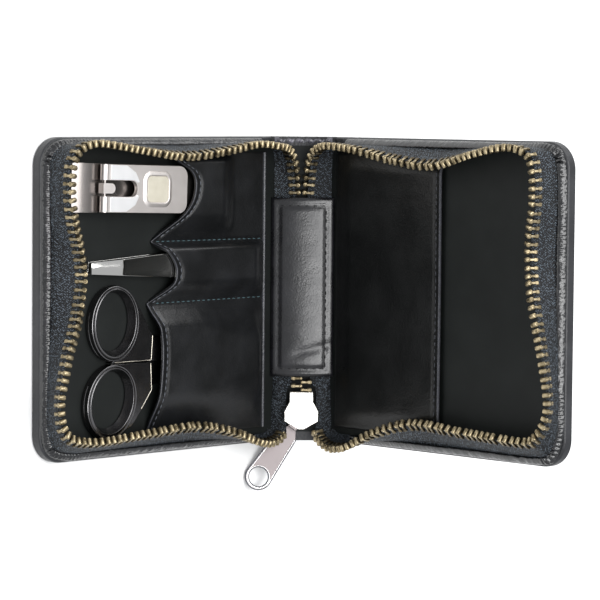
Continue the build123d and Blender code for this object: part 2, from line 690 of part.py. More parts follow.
def scissor_half(ring, hole, web, arm, low):
    """One half: a thick finger ring and shank, and a thin arm and blade in its own layer."""
    grip = ring + make_face(Polyline(*web, close=True)) - hole
    solid = slab(grip, TOOL_H, TOOL_H + RING_T)
    blade = make_face(Polyline(*arm, close=True)) + Pos(*SCISSOR_PIVOT) * Circle(4.8)
    solid += slab(blade, low, low + SCISSOR_LAYER)
    return solid - round_pin(SCREW_R + FIT, low - 1, low + 3, *SCISSOR_PIVOT)


def scissors_upper_half():
    """The half whose ring is toward the spine's upper end and whose blade lies on top."""
    middle = SCISSOR_PIVOT[1]
    ring = ellipse_at(75.7, -8.1, 10.8, 12.5, 4)
    hole = ellipse_at(75.4, -7.2, 6.9, 9.2, 4)
    clear = Pos(70, middle + 0.2 - 10) * Rectangle(60, 20)
    web = [(70, 2), (66, -1), (60, -10.5), (58.6, -12.6), (59.3, middle + 0.2), (79, middle + 0.2)]
    arm = [
        (60, -13.2), (60, middle + 0.2), (46, middle - 0.4), (41, -25.2), (33, -25.0), (11.6, -21.6),
        (11.2, -21.0), (33, -19.0), (41, -16.5), (50, -13.6),
    ]
    return on_left(scissor_half(ring - clear, hole, web, arm, TOOL_H + SCISSOR_LAYER + SCISSOR_GAP))


def scissors_lower_half():
    """The half whose ring is toward the spine's lower end and whose blade lies below."""
    middle = SCISSOR_PIVOT[1]
    ring = ellipse_at(76.8, -33.2, 10.9, 12.3, 20)
    hole = ellipse_at(76.7, -32.6, 7.1, 9.0, 20)
    clear = Pos(70, middle - 0.2 + 10) * Rectangle(60, 20)
    web = [(79, middle - 0.2), (59.3, middle - 0.2), (58.9, -30.5), (67.5, -41.5), (72, -44)]
    arm = [
        (60, -28.8), (60, middle - 0.2), (46, middle + 0.4), (41, -16.8), (33, -17.0), (11.6, -20.4),
        (11.2, -21.0), (33, -23.0), (41, -25.5), (50, -28.4),
    ]
    return on_left(scissor_half(ring - clear, hole, web, arm, TOOL_H))


def scissors_screw():
    """The pivot screw, its head on the upper half."""
    top = TOOL_H + RING_T
    shank = round_pin(SCREW_R, TOOL_H, top, *SCISSOR_PIVOT)
    return on_left(shank + round_pin(SCREW_HEAD_R, top, top + SCREW_HEAD_H, *SCISSOR_PIVOT))


def main():
    """Builds every sub-part and writes each to its own file."""
    os.makedirs("parts", exist_ok=True)
    left_up, left_wall, left_low = side_chain(LEFT_UPPER_END, LEFT_WALL, LEFT_LOWER_END)
    right_up, right_wall, right_low = side_chain(RIGHT_UPPER_END, RIGHT_WALL, RIGHT_LOWER_END)
    board_top = LEATHER + BOARD
    padding_top = board_top + PADDING
    left_fold = fold_lining()
    bend = fold_leather()
    parts = {
        "left_cover_leather": on_left(cover_leather()),
        "left_board": on_left(cover_layer(LEATHER, board_top)),
        "left_padding": on_left(cover_layer(board_top, padding_top)),
        "left_lining": on_left(cover_layer(padding_top, LINING_TOP)),
        "left_zip_tape": on_left(tape(left_wall + left_low[:1])),
        "left_zip_teeth": group(on_left(t) for t in chain_teeth(left_wall)),
        "tool_pocket": tool_pocket(),
        "spine_leather": on_spine(spine_leather()),
        "spine_lining": on_spine(spine_lining()),
        "left_fold_leather": Pos(HINGE_X, 0, 0) * bend,
        "right_fold_leather": right_fold_location(bend),
        "left_fold_lining": Pos(HINGE_X, 0, 0) * left_fold,
        "right_fold_lining": right_fold_location(left_fold),
        "patch_stay": patch_stay(),
        "zip_end_patch": zip_end_patch(),
        "left_tape_ends": group(on_left(tape(p)) for p in (left_up + left_wall[:1], left_low)),
        "right_tape_ends": group(on_right(tape(p)) for p in (right_up + right_wall[:1], right_low)),
        "left_end_teeth": group(on_left(t) for t in chain_teeth(left_up + left_low)),
        "right_end_teeth": group(on_right(t) for t in chain_teeth(right_up + right_low)),
        "closed_teeth": group(meshed_teeth()),
        "closed_tape": group(slider_tape()),
        "right_cover_leather": on_right(cover_leather()),
        "right_board": on_right(cover_layer(LEATHER, board_top)),
        "right_padding": on_right(cover_layer(board_top, padding_top)),
        "right_lining": on_right(cover_layer(padding_top, LINING_TOP)),
        "right_zip_tape": on_right(tape(right_wall + right_low[:1])),
        "right_zip_teeth": group(on_right(t) for t in chain_teeth(right_wall)),
        "card_pocket": card_pocket(),
        "slider_body": slider_body(),
        "slider_crown": slider_crown(),
        "puller": puller(),
        "clipper_lower_leaf": clipper_lower_leaf(),
        "clipper_upper_leaf": clipper_upper_leaf(),
        "clipper_post": clipper_post(),
        "clipper_fulcrum_pin": fulcrum_pin(),
        "clipper_rivet": clipper_rivet(),
        "clipper_lever": clipper_lever(),
        "clipper_label": clipper_label(),
        "tweezer_lower_leg": tweezer_lower_leg(),
        "tweezer_upper_leg": tweezer_upper_leg(),
        "scissors_upper_half": scissors_upper_half(),
        "scissors_lower_half": scissors_lower_half(),
        "scissors_screw": scissors_screw(),
    }
    for name, shape in parts.items():
        export_step(shape, f"parts/{name}.step")


main()
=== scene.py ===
"""Dresses a zip-round leather manicure case, standing half open, and lights it on a pale floor.

The case lies with its left cover flat. The spine rises from it at 45 degrees and the right cover
rises from the spine at 45 degrees again. Sizes are in millimetres until a point is placed, when
they become metres in the frame's own axes.
"""

from __future__ import annotations

import logging
import math
from dataclasses import dataclass, field
from enum import Enum
from typing import Callable, Iterable, Sequence

import bmesh
import bpy
from mathutils import Matrix, Vector
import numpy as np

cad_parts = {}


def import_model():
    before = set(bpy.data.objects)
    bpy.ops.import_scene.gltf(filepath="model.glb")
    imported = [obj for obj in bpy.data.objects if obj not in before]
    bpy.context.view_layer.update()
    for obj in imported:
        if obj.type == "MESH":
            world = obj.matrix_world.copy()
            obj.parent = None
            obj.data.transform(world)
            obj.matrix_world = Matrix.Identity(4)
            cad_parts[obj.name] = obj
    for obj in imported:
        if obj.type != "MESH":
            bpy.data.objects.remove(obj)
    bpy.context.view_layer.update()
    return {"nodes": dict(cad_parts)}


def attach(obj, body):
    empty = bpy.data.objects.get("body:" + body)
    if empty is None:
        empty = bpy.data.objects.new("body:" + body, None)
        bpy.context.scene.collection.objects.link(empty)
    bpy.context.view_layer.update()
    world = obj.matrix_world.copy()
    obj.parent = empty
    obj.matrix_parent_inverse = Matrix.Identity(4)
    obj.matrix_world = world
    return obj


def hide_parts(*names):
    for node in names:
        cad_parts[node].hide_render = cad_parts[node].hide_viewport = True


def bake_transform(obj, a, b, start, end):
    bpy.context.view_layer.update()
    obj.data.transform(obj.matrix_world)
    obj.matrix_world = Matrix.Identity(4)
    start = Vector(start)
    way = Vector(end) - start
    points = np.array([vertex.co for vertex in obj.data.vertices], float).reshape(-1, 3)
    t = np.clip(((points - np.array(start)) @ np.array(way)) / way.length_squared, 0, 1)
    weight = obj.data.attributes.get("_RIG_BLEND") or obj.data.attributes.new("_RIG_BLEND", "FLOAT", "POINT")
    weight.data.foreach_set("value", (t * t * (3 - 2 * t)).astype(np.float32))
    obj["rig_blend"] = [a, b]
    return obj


LOG = logging.getLogger("manicure_case")
MM = 0.001

Station = tuple[float, float, float, float, float]


# The case's axes


@dataclass(frozen=True)
class Axes:
    """Three directions and an origin, in millimetres, that a sub-assembly is drawn in."""

    origin: Vector
    first: Vector
    second: Vector
    third: Vector

    def at(self, a: float, b: float, c: float) -> Vector:
        """A point drawn in these axes, as a point of the frame in metres."""
        return (self.origin + self.turned(Vector((a, b, c)))) * MM

    def turned(self, way: Vector) -> Vector:
        """A direction drawn in these axes, as a direction of the frame."""
        return self.first * way.x + self.second * way.y + self.third * way.z


@dataclass(frozen=True)
class CaseSizes:
    """The driving dimensions of the case, in millimetres."""

    cover_w: float = 104.0
    cover_h: float = 103.0
    spine_w: float = 21.5
    fold_degrees: float = 45.0
    leather: float = 1.5
    lining_top: float = 3.9
    lining: float = 0.5
    rim_w: float = 3.0
    spine_lining: float = 0.7
    spine_lining_inset: float = 2.7
    fold_gap: float = 1.0

    @property
    def hinge_x(self) -> float:
        """Where the left fold runs."""
        return self.cover_w / 2

    @property
    def slope(self) -> tuple[float, float]:
        """The fold's cosine and sine."""
        turn = math.radians(self.fold_degrees)
        return math.cos(turn), math.sin(turn)

    def left(self) -> Axes:
        """u from the fold to the free edge, v along the fold, h up from the outer face."""
        return Axes(Vector((self.hinge_x, 0, 0)), Vector((-1, 0, 0)), Vector((0, 1, 0)), Vector((0, 0, 1)))

    def right(self) -> Axes:
        """The same u, v and h on the right cover."""
        cosine, sine = self.slope
        rise = self.leather + self.spine_w * sine
        start = Vector((self.hinge_x + self.spine_w * cosine + self.leather, 0, rise))
        return Axes(start, Vector((0, 0, 1)), Vector((0, 1, 0)), Vector((-1, 0, 0)))

    def spine(self) -> Axes:
        """p across the spine, v along the folds, q up from its outer face."""
        cosine, sine = self.slope
        start = Vector((self.hinge_x + self.leather * sine, 0, self.leather - self.leather * cosine))
        return Axes(start, Vector((cosine, 0, sine)), Vector((0, 1, 0)), Vector((-sine, 0, cosine)))


CASE = CaseSizes()


class Body(str, Enum):
    """The bodies that pieces ride on."""

    LEFT = "left_cover"
    SPINE = "spine"
    RIGHT = "right_cover"
    SLIDER = "slider"
    PULLER = "puller"
    CLIPPER = "clipper"
    LEVER = "clipper_lever"
    TWEEZERS = "tweezers"
    TWEEZERS_LEG = "tweezers_leg"
    SCISSORS = "scissors"
    SCISSORS_UPPER = "scissors_upper"


# Materials


def linear(code: str) -> tuple[float, float, float, float]:
    """Turns an sRGB hex colour to linear light.

    Args:
        code: Six hex digits, with or without a leading hash.

    Returns:
        Red, green, blue and an alpha of 1.
    """
    digits = code.lstrip("#")
    parts = [int(digits[i : i + 2], 16) / 255 for i in (0, 2, 4)]
    light = [c / 12.92 if c <= 0.04045 else ((c + 0.055) / 1.055) ** 2.4 for c in parts]
    return (light[0], light[1], light[2], 1.0)


def per_mm(size: float) -> float:
    """The texture scale at which one feature is this many millimetres wide."""
    return 1.0 / (size * MM)


def add_node(
    tree: bpy.types.NodeTree, kind: str, settings: dict | None = None, links: dict | None = None
) -> bpy.types.Node:
    """Adds a shader node with its settings and its incoming links.

    Args:
        tree: The tree that it joins.
        kind: The node's type name.
        settings: Attributes or input values by name.
        links: Output sockets by the input that each feeds.

    Returns:
        The new node.
    """
    node = tree.nodes.new(kind)
    for key, value in (settings or {}).items():
        if isinstance(key, str) and hasattr(node, key):
            setattr(node, key, value)
        else:
            node.inputs[key].default_value = value
    for key, socket in (links or {}).items():
        tree.links.new(socket, node.inputs[key])
    return node


@dataclass(frozen=True)
class Finish:
    """A finish's common values. Subclasses wire what makes its surface."""

    name: str
    colour: str
    roughness: float = 0.5
    metallic: float = 0.0
    specular: float = 0.5

    def material(self) -> bpy.types.Material:
        """The finish as a material, made once."""
        found = bpy.data.materials.get(self.name)
        if found is not None:
            return found
        made = bpy.data.materials.new(self.name)
        made.use_nodes = True
        tree = made.node_tree
        shader = tree.nodes["Principled BSDF"]
        shader.inputs["Base Color"].default_value = linear(self.colour)
        shader.inputs["Roughness"].default_value = self.roughness
        shader.inputs["Metallic"].default_value = self.metallic
        if self.metallic < 1.0:
            shader.inputs["Specular IOR Level"].default_value = self.specular
        self.wire(tree, shader)
        return made

    def wire(self, tree: bpy.types.NodeTree, shader: bpy.types.Node) -> None:
        """Adds the pattern nodes of this finish."""

    def noise(self, tree: bpy.types.NodeTree, size: float, detail: float = 3.0) -> bpy.types.NodeSocket:
        """Noise over the object's own coordinates.

        Args:
            tree: The material's tree.
            size: Width of a patch in millimetres.
            detail: Levels of finer noise.

        Returns:
            The noise's strength.
        """
        place = add_node(tree, "ShaderNodeTexCoord")
        settings, links = {"Scale": per_mm(size), "Detail": detail}, {"Vector": place.outputs["Object"]}
        return add_node(tree, "ShaderNodeTexNoise", settings, links).outputs["Fac"]

    def tint(
        self, tree: bpy.types.NodeTree, shader: bpy.types.Node, source: bpy.types.NodeSocket,
        colours: tuple[str, str], start: float, end: float,
    ) -> bpy.types.NodeSocket:
        """Lets a pattern move the colour from one to another.

        Args:
            tree: The material's tree.
            shader: The shader that it colours.
            source: The pattern.
            colours: The colour where the pattern is low and the one where it is high.
            start: The pattern's value up to which the first holds.
            end: The value from which the second holds.

        Returns:
            The colour.
        """
        node = add_node(tree, "ShaderNodeValToRGB", links={"Fac": source})
        for stop, code, place in zip(node.color_ramp.elements, colours, (start, end)):
            stop.position = place
            stop.color = linear(code)
        tree.links.new(node.outputs["Color"], shader.inputs["Base Color"])
        return node.outputs["Color"]

    def vary_roughness(
        self, tree: bpy.types.NodeTree, shader: bpy.types.Node, source: bpy.types.NodeSocket,
        low: float, high: float,
    ) -> None:
        """Lets a pattern move the roughness between two values."""
        span = add_node(tree, "ShaderNodeMapRange", {"To Min": low, "To Max": high}, {"Value": source})
        tree.links.new(span.outputs["Result"], shader.inputs["Roughness"])

    def emboss(
        self, tree: bpy.types.NodeTree, shader: bpy.types.Node, source: bpy.types.NodeSocket,
        depth: float, strength: float = 1.0, under: bpy.types.NodeSocket | None = None,
    ) -> bpy.types.NodeSocket:
        """Lets a pattern bump the surface.

        Args:
            tree: The material's tree.
            shader: The shader that it bumps.
            source: The pattern.
            depth: Its depth in millimetres.
            strength: How much of the bump shows.
            under: A bump that this one is added to.

        Returns:
            The bumped normal.
        """
        links = {"Height": source}
        if under is not None:
            links["Normal"] = under
        bump = add_node(tree, "ShaderNodeBump", {"Strength": strength, "Distance": depth * MM}, links)
        tree.links.new(bump.outputs["Normal"], shader.inputs["Normal"])
        return bump.outputs["Normal"]


@dataclass(frozen=True)
class GlazedLeather(Finish):
    """Corrected-grain cowhide, glazed: a soft shine broken by a shallow pebble grain and slow waves."""

    grain: float = 0.55
    grain_depth: float = 0.035
    wave: float = 9.0
    wave_depth: float = 0.25
    # Second tone that slow waves mix in: random wear on most leathers, and part of the painted sheen on the
    # spine's turned-in margin.
    wear_and_painted_light: str = "#2a2b2e"

    def wire(self, tree: bpy.types.NodeTree, shader: bpy.types.Node) -> None:
        """Pebble grain and slow waves as bump, tone and shine."""
        place = add_node(tree, "ShaderNodeTexCoord")
        pebble = add_node(
            tree,
            "ShaderNodeTexVoronoi",
            {"feature": "SMOOTH_F1", "Scale": per_mm(self.grain), "Smoothness": 0.6},
            {"Vector": place.outputs["Object"]},
        )
        slow = self.noise(tree, self.wave, 2.0)
        self.tint(tree, shader, slow, (self.colour, self.wear_and_painted_light), 0.42, 0.75)
        self.vary_roughness(tree, shader, slow, self.roughness - 0.07, self.roughness + 0.1)
        wave = self.emboss(tree, shader, slow, self.wave_depth)
        self.emboss(tree, shader, pebble.outputs["Distance"], self.grain_depth, under=wave)


@dataclass(frozen=True)
class LiningCloth(Finish):
    """Bonded synthetic lining: matte, with a barely raised nap."""

    nap: float = 0.5
    cloud: str = "#161918"

    def wire(self, tree: bpy.types.NodeTree, shader: bpy.types.Node) -> None:
        """A fine nap and a faint cloudiness."""
        self.tint(tree, shader, self.noise(tree, 14.0, 2.0), (self.colour, self.cloud), 0.35, 0.75)
        self.emboss(tree, shader, self.noise(tree, self.nap, 2.0), 0.03, 0.6)


@dataclass(frozen=True)
class HerringboneTape(Finish):
    """Woven polyester zip tape: narrow columns of slanting threads that turn back at each column.

    Loose fibre breaks them into specks. The real threads are about 0.25 mm apart. They are drawn
    0.8 mm apart so that they show.
    """

    light: str = "#5d6a78"
    column: float = 1.3
    thread: float = 0.8

    def wire(self, tree: bpy.types.NodeTree, shader: bpy.types.Node) -> None:
        """Slanting threads from the piece's own map, whose unit is a millimetre."""

        def maths(operation: str, first: object, second: object = 0.0) -> bpy.types.NodeSocket:
            """One step of arithmetic on sockets or numbers."""
            node = add_node(tree, "ShaderNodeMath", {"operation": operation})
            for index, value in enumerate((first, second)):
                if isinstance(value, bpy.types.NodeSocket):
                    tree.links.new(value, node.inputs[index])
                else:
                    node.inputs[index].default_value = value
            return node.outputs[0]

        place = add_node(tree, "ShaderNodeTexCoord")
        split = add_node(tree, "ShaderNodeSeparateXYZ", links={"Vector": place.outputs["UV"]})
        zigzag = maths("PINGPONG", split.outputs["Y"], self.column)
        phase = maths("MULTIPLY", maths("ADD", split.outputs["X"], zigzag), 2 * math.pi / self.thread)
        wave = maths("MULTIPLY_ADD", maths("SINE", phase), 0.5)
        wave.node.inputs[2].default_value = 0.5
        fray = self.noise(tree, 0.55, 2.0)
        loose = maths("MULTIPLY_ADD", fray, 3.0)
        loose.node.inputs[2].default_value = -1.1
        loose.node.use_clamp = True
        mixed = maths("MULTIPLY", maths("ADD", maths("MULTIPLY", wave, 0.75), 0.3), loose)
        self.tint(tree, shader, mixed, (self.colour, self.light), 0.25, 0.75)
        self.emboss(tree, shader, mixed, 0.25)


@dataclass(frozen=True)
class AntiqueBrass(Finish):
    """Oxidised brass in random patches, as on a tumbled zip chain, with painted shade on the jaws that sit
    down in the tape.
    """

    dark: str = "#4a4030"
    # The colour of the painted shade on the jaws.
    jaw_shade_colour: str = "#352c1f"

    def wire(self, tree: bpy.types.NodeTree, shader: bpy.types.Node) -> None:
        """Random patches of darker patina, duller where they lie, and painted shade on the jaws from the
        tooth's mask.
        """
        patch = self.noise(tree, 1.6)
        tone = self.tint(tree, shader, patch, (self.dark, self.colour), 0.32, 0.55)
        # Painted shade: the tooth's mask darkens its jaws toward the shade colour.
        wear_and_painted_light = add_node(tree, "ShaderNodeAttribute", {"attribute_name": "painted_jaw_shade"})
        mixed = add_node(
            tree, "ShaderNodeMix", {"data_type": "RGBA", "B": linear(self.jaw_shade_colour)},
            {"Factor": wear_and_painted_light.outputs["Fac"], "A": tone},
        )
        tree.links.new(mixed.outputs["Result"], shader.inputs["Base Color"])
        self.vary_roughness(tree, shader, patch, self.roughness + 0.14, self.roughness - 0.06)


@dataclass(frozen=True)
class PlatedMetal(Finish):
    """Plated or polished metal: a smooth mirror broken by faint handling haze."""

    haze: float = 0.04
    haze_size: float = 4.0
    ripple: float = 0.0

    def wire(self, tree: bpy.types.NodeTree, shader: bpy.types.Node) -> None:
        """Haze in the roughness and, where asked, a slight ripple from hand polishing."""
        cloud = self.noise(tree, self.haze_size, 4.0)
        self.vary_roughness(tree, shader, cloud, self.roughness - self.haze, self.roughness + self.haze)
        if self.ripple > 0:
            self.emboss(tree, shader, cloud, self.ripple)


@dataclass(frozen=True)
class FiredEnamel(Finish):
    """Fired cream enamel under a clear glaze."""

    cloud: str = "#c2bdae"

    def wire(self, tree: bpy.types.NodeTree, shader: bpy.types.Node) -> None:
        """A clear coat over a slightly clouded ground."""
        self.tint(tree, shader, self.noise(tree, 3.0, 2.0), (self.colour, self.cloud), 0.3, 0.7)
        shader.inputs["Coat Weight"].default_value = 0.7
        shader.inputs["Coat Roughness"].default_value = 0.08


@dataclass(frozen=True)
class SpunThread(Finish):
    """Waxed polyester sewing thread: matte, twisted, catching light along its top."""

    def wire(self, tree: bpy.types.NodeTree, shader: bpy.types.Node) -> None:
        """The twist as a fine ripple."""
        self.emboss(tree, shader, self.noise(tree, 0.3, 1.0), 0.03, 0.5)


@dataclass(frozen=True)
class PressedBoard(Finish):
    """Grey-brown pressed board, as a bookbinder's board."""

    fleck: str = "#a39582"

    def wire(self, tree: bpy.types.NodeTree, shader: bpy.types.Node) -> None:
        """Flecks of fibre."""
        self.tint(tree, shader, self.noise(tree, 0.6, 4.0), (self.colour, self.fleck), 0.4, 0.7)


@dataclass(frozen=True)
class StudioPaint(Finish):
    """Matte white studio paint on the floor."""

    def wire(self, tree: bpy.types.NodeTree, shader: bpy.types.Node) -> None:
        """A roller's faint texture, which keeps the floor from looking cut out."""
        self.emboss(tree, shader, self.noise(tree, 6.0, 2.0), 0.05, 0.1)


@dataclass(frozen=True)
class Palette:
    """Every finish that the case uses."""

    cover_leather: Finish = GlazedLeather(
        "glazed_cover_leather", "#1c1d20", 0.42, grain=0.8, grain_depth=0.06
    )
    pocket_leather: Finish = GlazedLeather(
        "glazed_pocket_leather", "#0e0f10", 0.33, specular=0.48, wave=11.0, wave_depth=0.3, wear_and_painted_light="#161719"
    )
    # Painted shade: a darker copy of the pocket leather, for the pocket on the standing right cover.
    card_leather_painted_shade: Finish = GlazedLeather(
        "card_pocket_leather_painted_shade", "#0b0c0c", 0.3, specular=0.42, wave=11.0, wave_depth=0.3, wear_and_painted_light="#121313"
    )
    patch_leather: Finish = GlazedLeather(
        "glazed_patch_leather", "#0f0f12", 0.27, specular=0.65, wave=6.0, wave_depth=0.13, wear_and_painted_light="#18181c"
    )
    # Painted highlight: the turned-in margin is the cover's black leather, drawn light grey to stand in for
    # the sheen on its wrinkles.
    turned_leather_painted_sheen: Finish = GlazedLeather(
        "turned_in_leather_painted_sheen", "#45444b", 0.3, specular=0.9, wave=3.0, wave_depth=0.25, wear_and_painted_light="#66646e"
    )
    # Painted highlight: the pockets' rolled edges are black leather drawn mid grey, standing in for the
    # catch-light along them.
    edge_leather_painted_highlight: Finish = GlazedLeather("leather_edge_painted_highlight", "#3a3b41", 0.26, wave=3.0, wave_depth=0.1)
    welt_leather: Finish = GlazedLeather(
        "gathered_welt_leather", "#08090a", 0.22, specular=0.8, grain=0.9, grain_depth=0.1, wave=2.2,
        wave_depth=0.3, wear_and_painted_light="#16171a",
    )
    lining: Finish = LiningCloth("bonded_lining", "#0f1211", 0.55, specular=0.22)
    tape: Finish = HerringboneTape("herringbone_zip_tape", "#08090b", 0.6, specular=0.3, light="#606972")
    teeth: Finish = AntiqueBrass("antique_brass", "#ab9d7f", 0.38, 1.0, dark="#5a503c")
    nickel: Finish = PlatedMetal("polished_nickel", "#e6e4e0", 0.14, 1.0)
    satin_nickel: Finish = PlatedMetal("satin_nickel", "#827b7b", 0.32, 1.0, haze=0.06)
    rim_nickel: Finish = PlatedMetal("bright_rim_nickel", "#efedec", 0.16, 1.0)
    # Painted reflection: dark grey nickel for a thin bead at the puller's edge, standing in for the dark
    # things its chamfer reflects.
    dark_reflection_nickel: Finish = PlatedMetal("nickel_painted_dark_reflection", "#50535a", 0.25, 1.0)
    ground_steel: Finish = PlatedMetal("ground_edge_steel", "#cfc8ba", 0.24, 1.0)
    clipper_steel: Finish = PlatedMetal("plated_clipper_steel", "#85807d", 0.26, 1.0)
    # Painted highlight: pure white, rough steel for the fork's faces, where polished facets catch the light.
    fork_painted_highlight: Finish = PlatedMetal("fork_steel_painted_highlight", "#ffffff", 0.5, 1.0)
    lever_steel: Finish = PlatedMetal("satin_lever_steel", "#e6e0dc", 0.46, 1.0, haze=0.05)
    tool_steel: Finish = PlatedMetal("mirror_tool_steel", "#c9c8c4", 0.1, 1.0, ripple=0.015)
    scissor_steel: Finish = PlatedMetal("smoked_scissor_steel", "#706f70", 0.2, 1.0, ripple=0.02)
    enamel: Finish = FiredEnamel("cream_enamel", "#b7b2a2", 0.3)
    teal_thread: Finish = SpunThread("teal_sewing_thread", "#3e575d", 0.6)
    grey_thread: Finish = SpunThread("grey_sewing_thread", "#565960", 0.5)
    black_thread: Finish = SpunThread("black_sewing_thread", "#0c0d0e", 0.55)
    board: Finish = PressedBoard("pressed_board", "#7d705d", 0.85)
    floor: Finish = StudioPaint("white_studio_paint", "#f7f7f6", 0.9)


PALETTE = Palette()


# Meshes


def make_piece(
    bm: bmesh.types.BMesh,
    name: str,
    finish: Finish,
    body: Body | None,
    replaced: Sequence[str] = (),
    sharp: float = 40.0,
    even_normals: bool = False,
) -> bpy.types.Object:
    """Turns a finished bmesh into a piece that rides on its body.

    Args:
        bm: The mesh, in metres in the frame. It is freed.
        name: The piece's name.
        finish: Its finish.
        body: The body it rides on, or None for one that blends or is staged.
        replaced: CAD nodes that it stands for.
        sharp: Edges that turn more than this many degrees stay sharp.
        even_normals: Whether flat faces keep flat shading next to rounded edges.

    Returns:
        The new object.
    """
    mesh = bpy.data.meshes.new(name)
    for face in bm.faces:
        face.smooth = True
    bm.to_mesh(mesh)
    bm.free()
    mesh.set_sharp_from_angle(angle=math.radians(sharp))
    piece = bpy.data.objects.new(name, mesh)
    bpy.context.scene.collection.objects.link(piece)
    mesh.materials.append(finish.material())
    if even_normals:
        piece.modifiers.new("even_normals", "WEIGHTED_NORMAL").keep_sharp = True
    if body is not None:
        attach(piece, body.value)
    if replaced:
        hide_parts(*replaced)
    LOG.info("%s: %d faces", name, len(mesh.polygons))
    return piece


def softened(
    node: bpy.types.Object, width: float, segments: int = 3, corner: float = 32.0,
    left_sharp: Callable[[Vector], bool] | None = None,
) -> bmesh.types.BMesh:
    """A copy of a CAD node's mesh with its edges rounded.

    Args:
        node: The CAD node, which is left alone.
        width: The rounding in millimetres.
        segments: Steps across each rounding.
        corner: Edges that turn more than this many degrees are rounded.
        left_sharp: Says of a point whether edges there stay sharp, as where two pieces meet.

    Returns:
        The copy as a bmesh.
    """
    bm = bmesh.new()
    bm.from_mesh(node.data)
    bmesh.ops.remove_doubles(bm, verts=bm.verts, dist=2e-6)
    bmesh.ops.dissolve_limit(bm, angle_limit=math.radians(1.5), verts=bm.verts, edges=bm.edges)
    edges = [e for e in bm.edges if e.is_manifold and e.calc_face_angle(0.0) > math.radians(corner)]
    if left_sharp is not None:
        edges = [e for e in edges if not all(left_sharp(v.co) for v in e.verts)]
    round_edges(bm, edges, width * MM, segments, clamp=True)
    bmesh.ops.recalc_face_normals(bm, faces=bm.faces)
    return bm


def round_edges(
    bm: bmesh.types.BMesh, edges: Sequence[bmesh.types.BMEdge], width: float, segments: int,
    clamp: bool = False,
) -> None:
    """Rounds some of a mesh's edges.

    Args:
        bm: The mesh.
        edges: The edges.
        width: The rounding in the mesh's own unit.
        segments: Steps across it.
        clamp: Whether it narrows where two roundings would meet.
    """
    bmesh.ops.bevel(
        bm, geom=edges, offset=width, offset_type="OFFSET", segments=segments, profile=0.5, affect="EDGES",
        clamp_overlap=clamp, material=-1,
    )


def round_points(radius: float, count: int = 8) -> list[tuple[float, float]]:
    """Points spaced evenly round a circle about the origin."""
    turns = [math.tau * k / count for k in range(count)]
    return [(radius * math.cos(turn), radius * math.sin(turn)) for turn in turns]


def smooth_step(value: float) -> float:
    """Rises smoothly from 0 to 1 as the value does."""
    t = min(max(value, 0.0), 1.0)
    return t * t * (3 - 2 * t)


def curve_point(points: Sequence[Sequence[float]], place: float) -> list[float]:
    """A point on the smooth curve through some points.

    Args:
        points: The points that it passes through, of any dimension.
        place: How far along, from 0 at the first to 1 at the last.

    Returns:
        The point's coordinates.
    """
    spans = len(points) - 1
    i = min(int(place * spans), spans - 1)
    t = place * spans - i
    a, b = points[max(i - 1, 0)], points[i]
    c, d = points[i + 1], points[min(i + 2, spans)]
    return [
        0.5 * (2 * q + (r - p) * t + (2 * p - 5 * q + 4 * r - s) * t**2 + (3 * q - p - 3 * r + s) * t**3)
        for p, q, r, s in zip(a, b, c, d)
    ]


def woven_strip(
    rows: Sequence[Sequence[Vector]], closed: bool = False, looped: bool = False
) -> bmesh.types.BMesh:
    """A strip drawn out row by row, with a map whose unit is a millimetre along and across it.

    Args:
        rows: Rows of points in metres, each with as many points as the first.
        closed: Whether each row closes on itself, as round a cord.
        looped: Whether the last row lies on the first and is welded to it.

    Returns:
        The strip as a bmesh.
    """
    bm = bmesh.new()
    verts = [bm.verts.new(point) for point in rows[0]]
    pairs = list(zip(verts, verts[1:])) + ([(verts[-1], verts[0])] if closed else [])
    edges = [bm.edges.new(pair) for pair in pairs]
    across = [0.0]
    for before, after in zip(rows[0], rows[0][1:]):
        across.append(across[-1] + (after - before).length / MM)
    travelled, middle = 0.0, len(verts) // 2
    place = {vert: (0.0, gap) for vert, gap in zip(verts, across)}
    for before, row in zip(rows, rows[1:]):
        travelled += (row[middle] - before[middle]).length / MM
        made = bmesh.ops.extrude_edge_only(bm, edges=edges)["geom"]
        edges = [g for g in made if isinstance(g, bmesh.types.BMEdge)]
        fresh = [g for g in made if isinstance(g, bmesh.types.BMVert)]
        nearest = {next(e.other_vert(v) for e in v.link_edges if e.other_vert(v) in verts): v for v in fresh}
        verts = [nearest[old] for old in verts]
        edges = [bm.edges.get((a, b)) for a, b in zip(verts, verts[1:])]
        if closed:
            edges.append(bm.edges.get((verts[-1], verts[0])))
        for vert, point, gap in zip(verts, row, across):
            vert.co = point
            place[vert] = (travelled, gap)
    layer = bm.loops.layers.uv.new("UVMap")
    for face in bm.faces:
        for loop in face.loops:
            loop[layer].uv = place[loop.vert]
    if looped:
        bmesh.ops.remove_doubles(bm, verts=bm.verts, dist=1e-6)
    elif closed:
        bmesh.ops.holes_fill(bm, edges=[e for e in bm.edges if e.is_boundary])
    bmesh.ops.recalc_face_normals(bm, faces=bm.faces)
    return bm


def resample(points: Sequence[Vector], step: float) -> list[tuple[Vector, Vector]]:
    """Places at even steps along a run of points.

    Args:
        points: The run, in metres.
        step: The distance between places, in millimetres.

    Returns:
        Each place with the run's direction there.
    """
    places, due, travelled = [], step * MM / 2, 0.0
    for a, b in zip(points, points[1:]):
        length = (b - a).length
        while length > 0 and due <= travelled + length:
            places.append((a.lerp(b, (due - travelled) / length), (b - a).normalized()))
            due += step * MM
        travelled += length
    return places


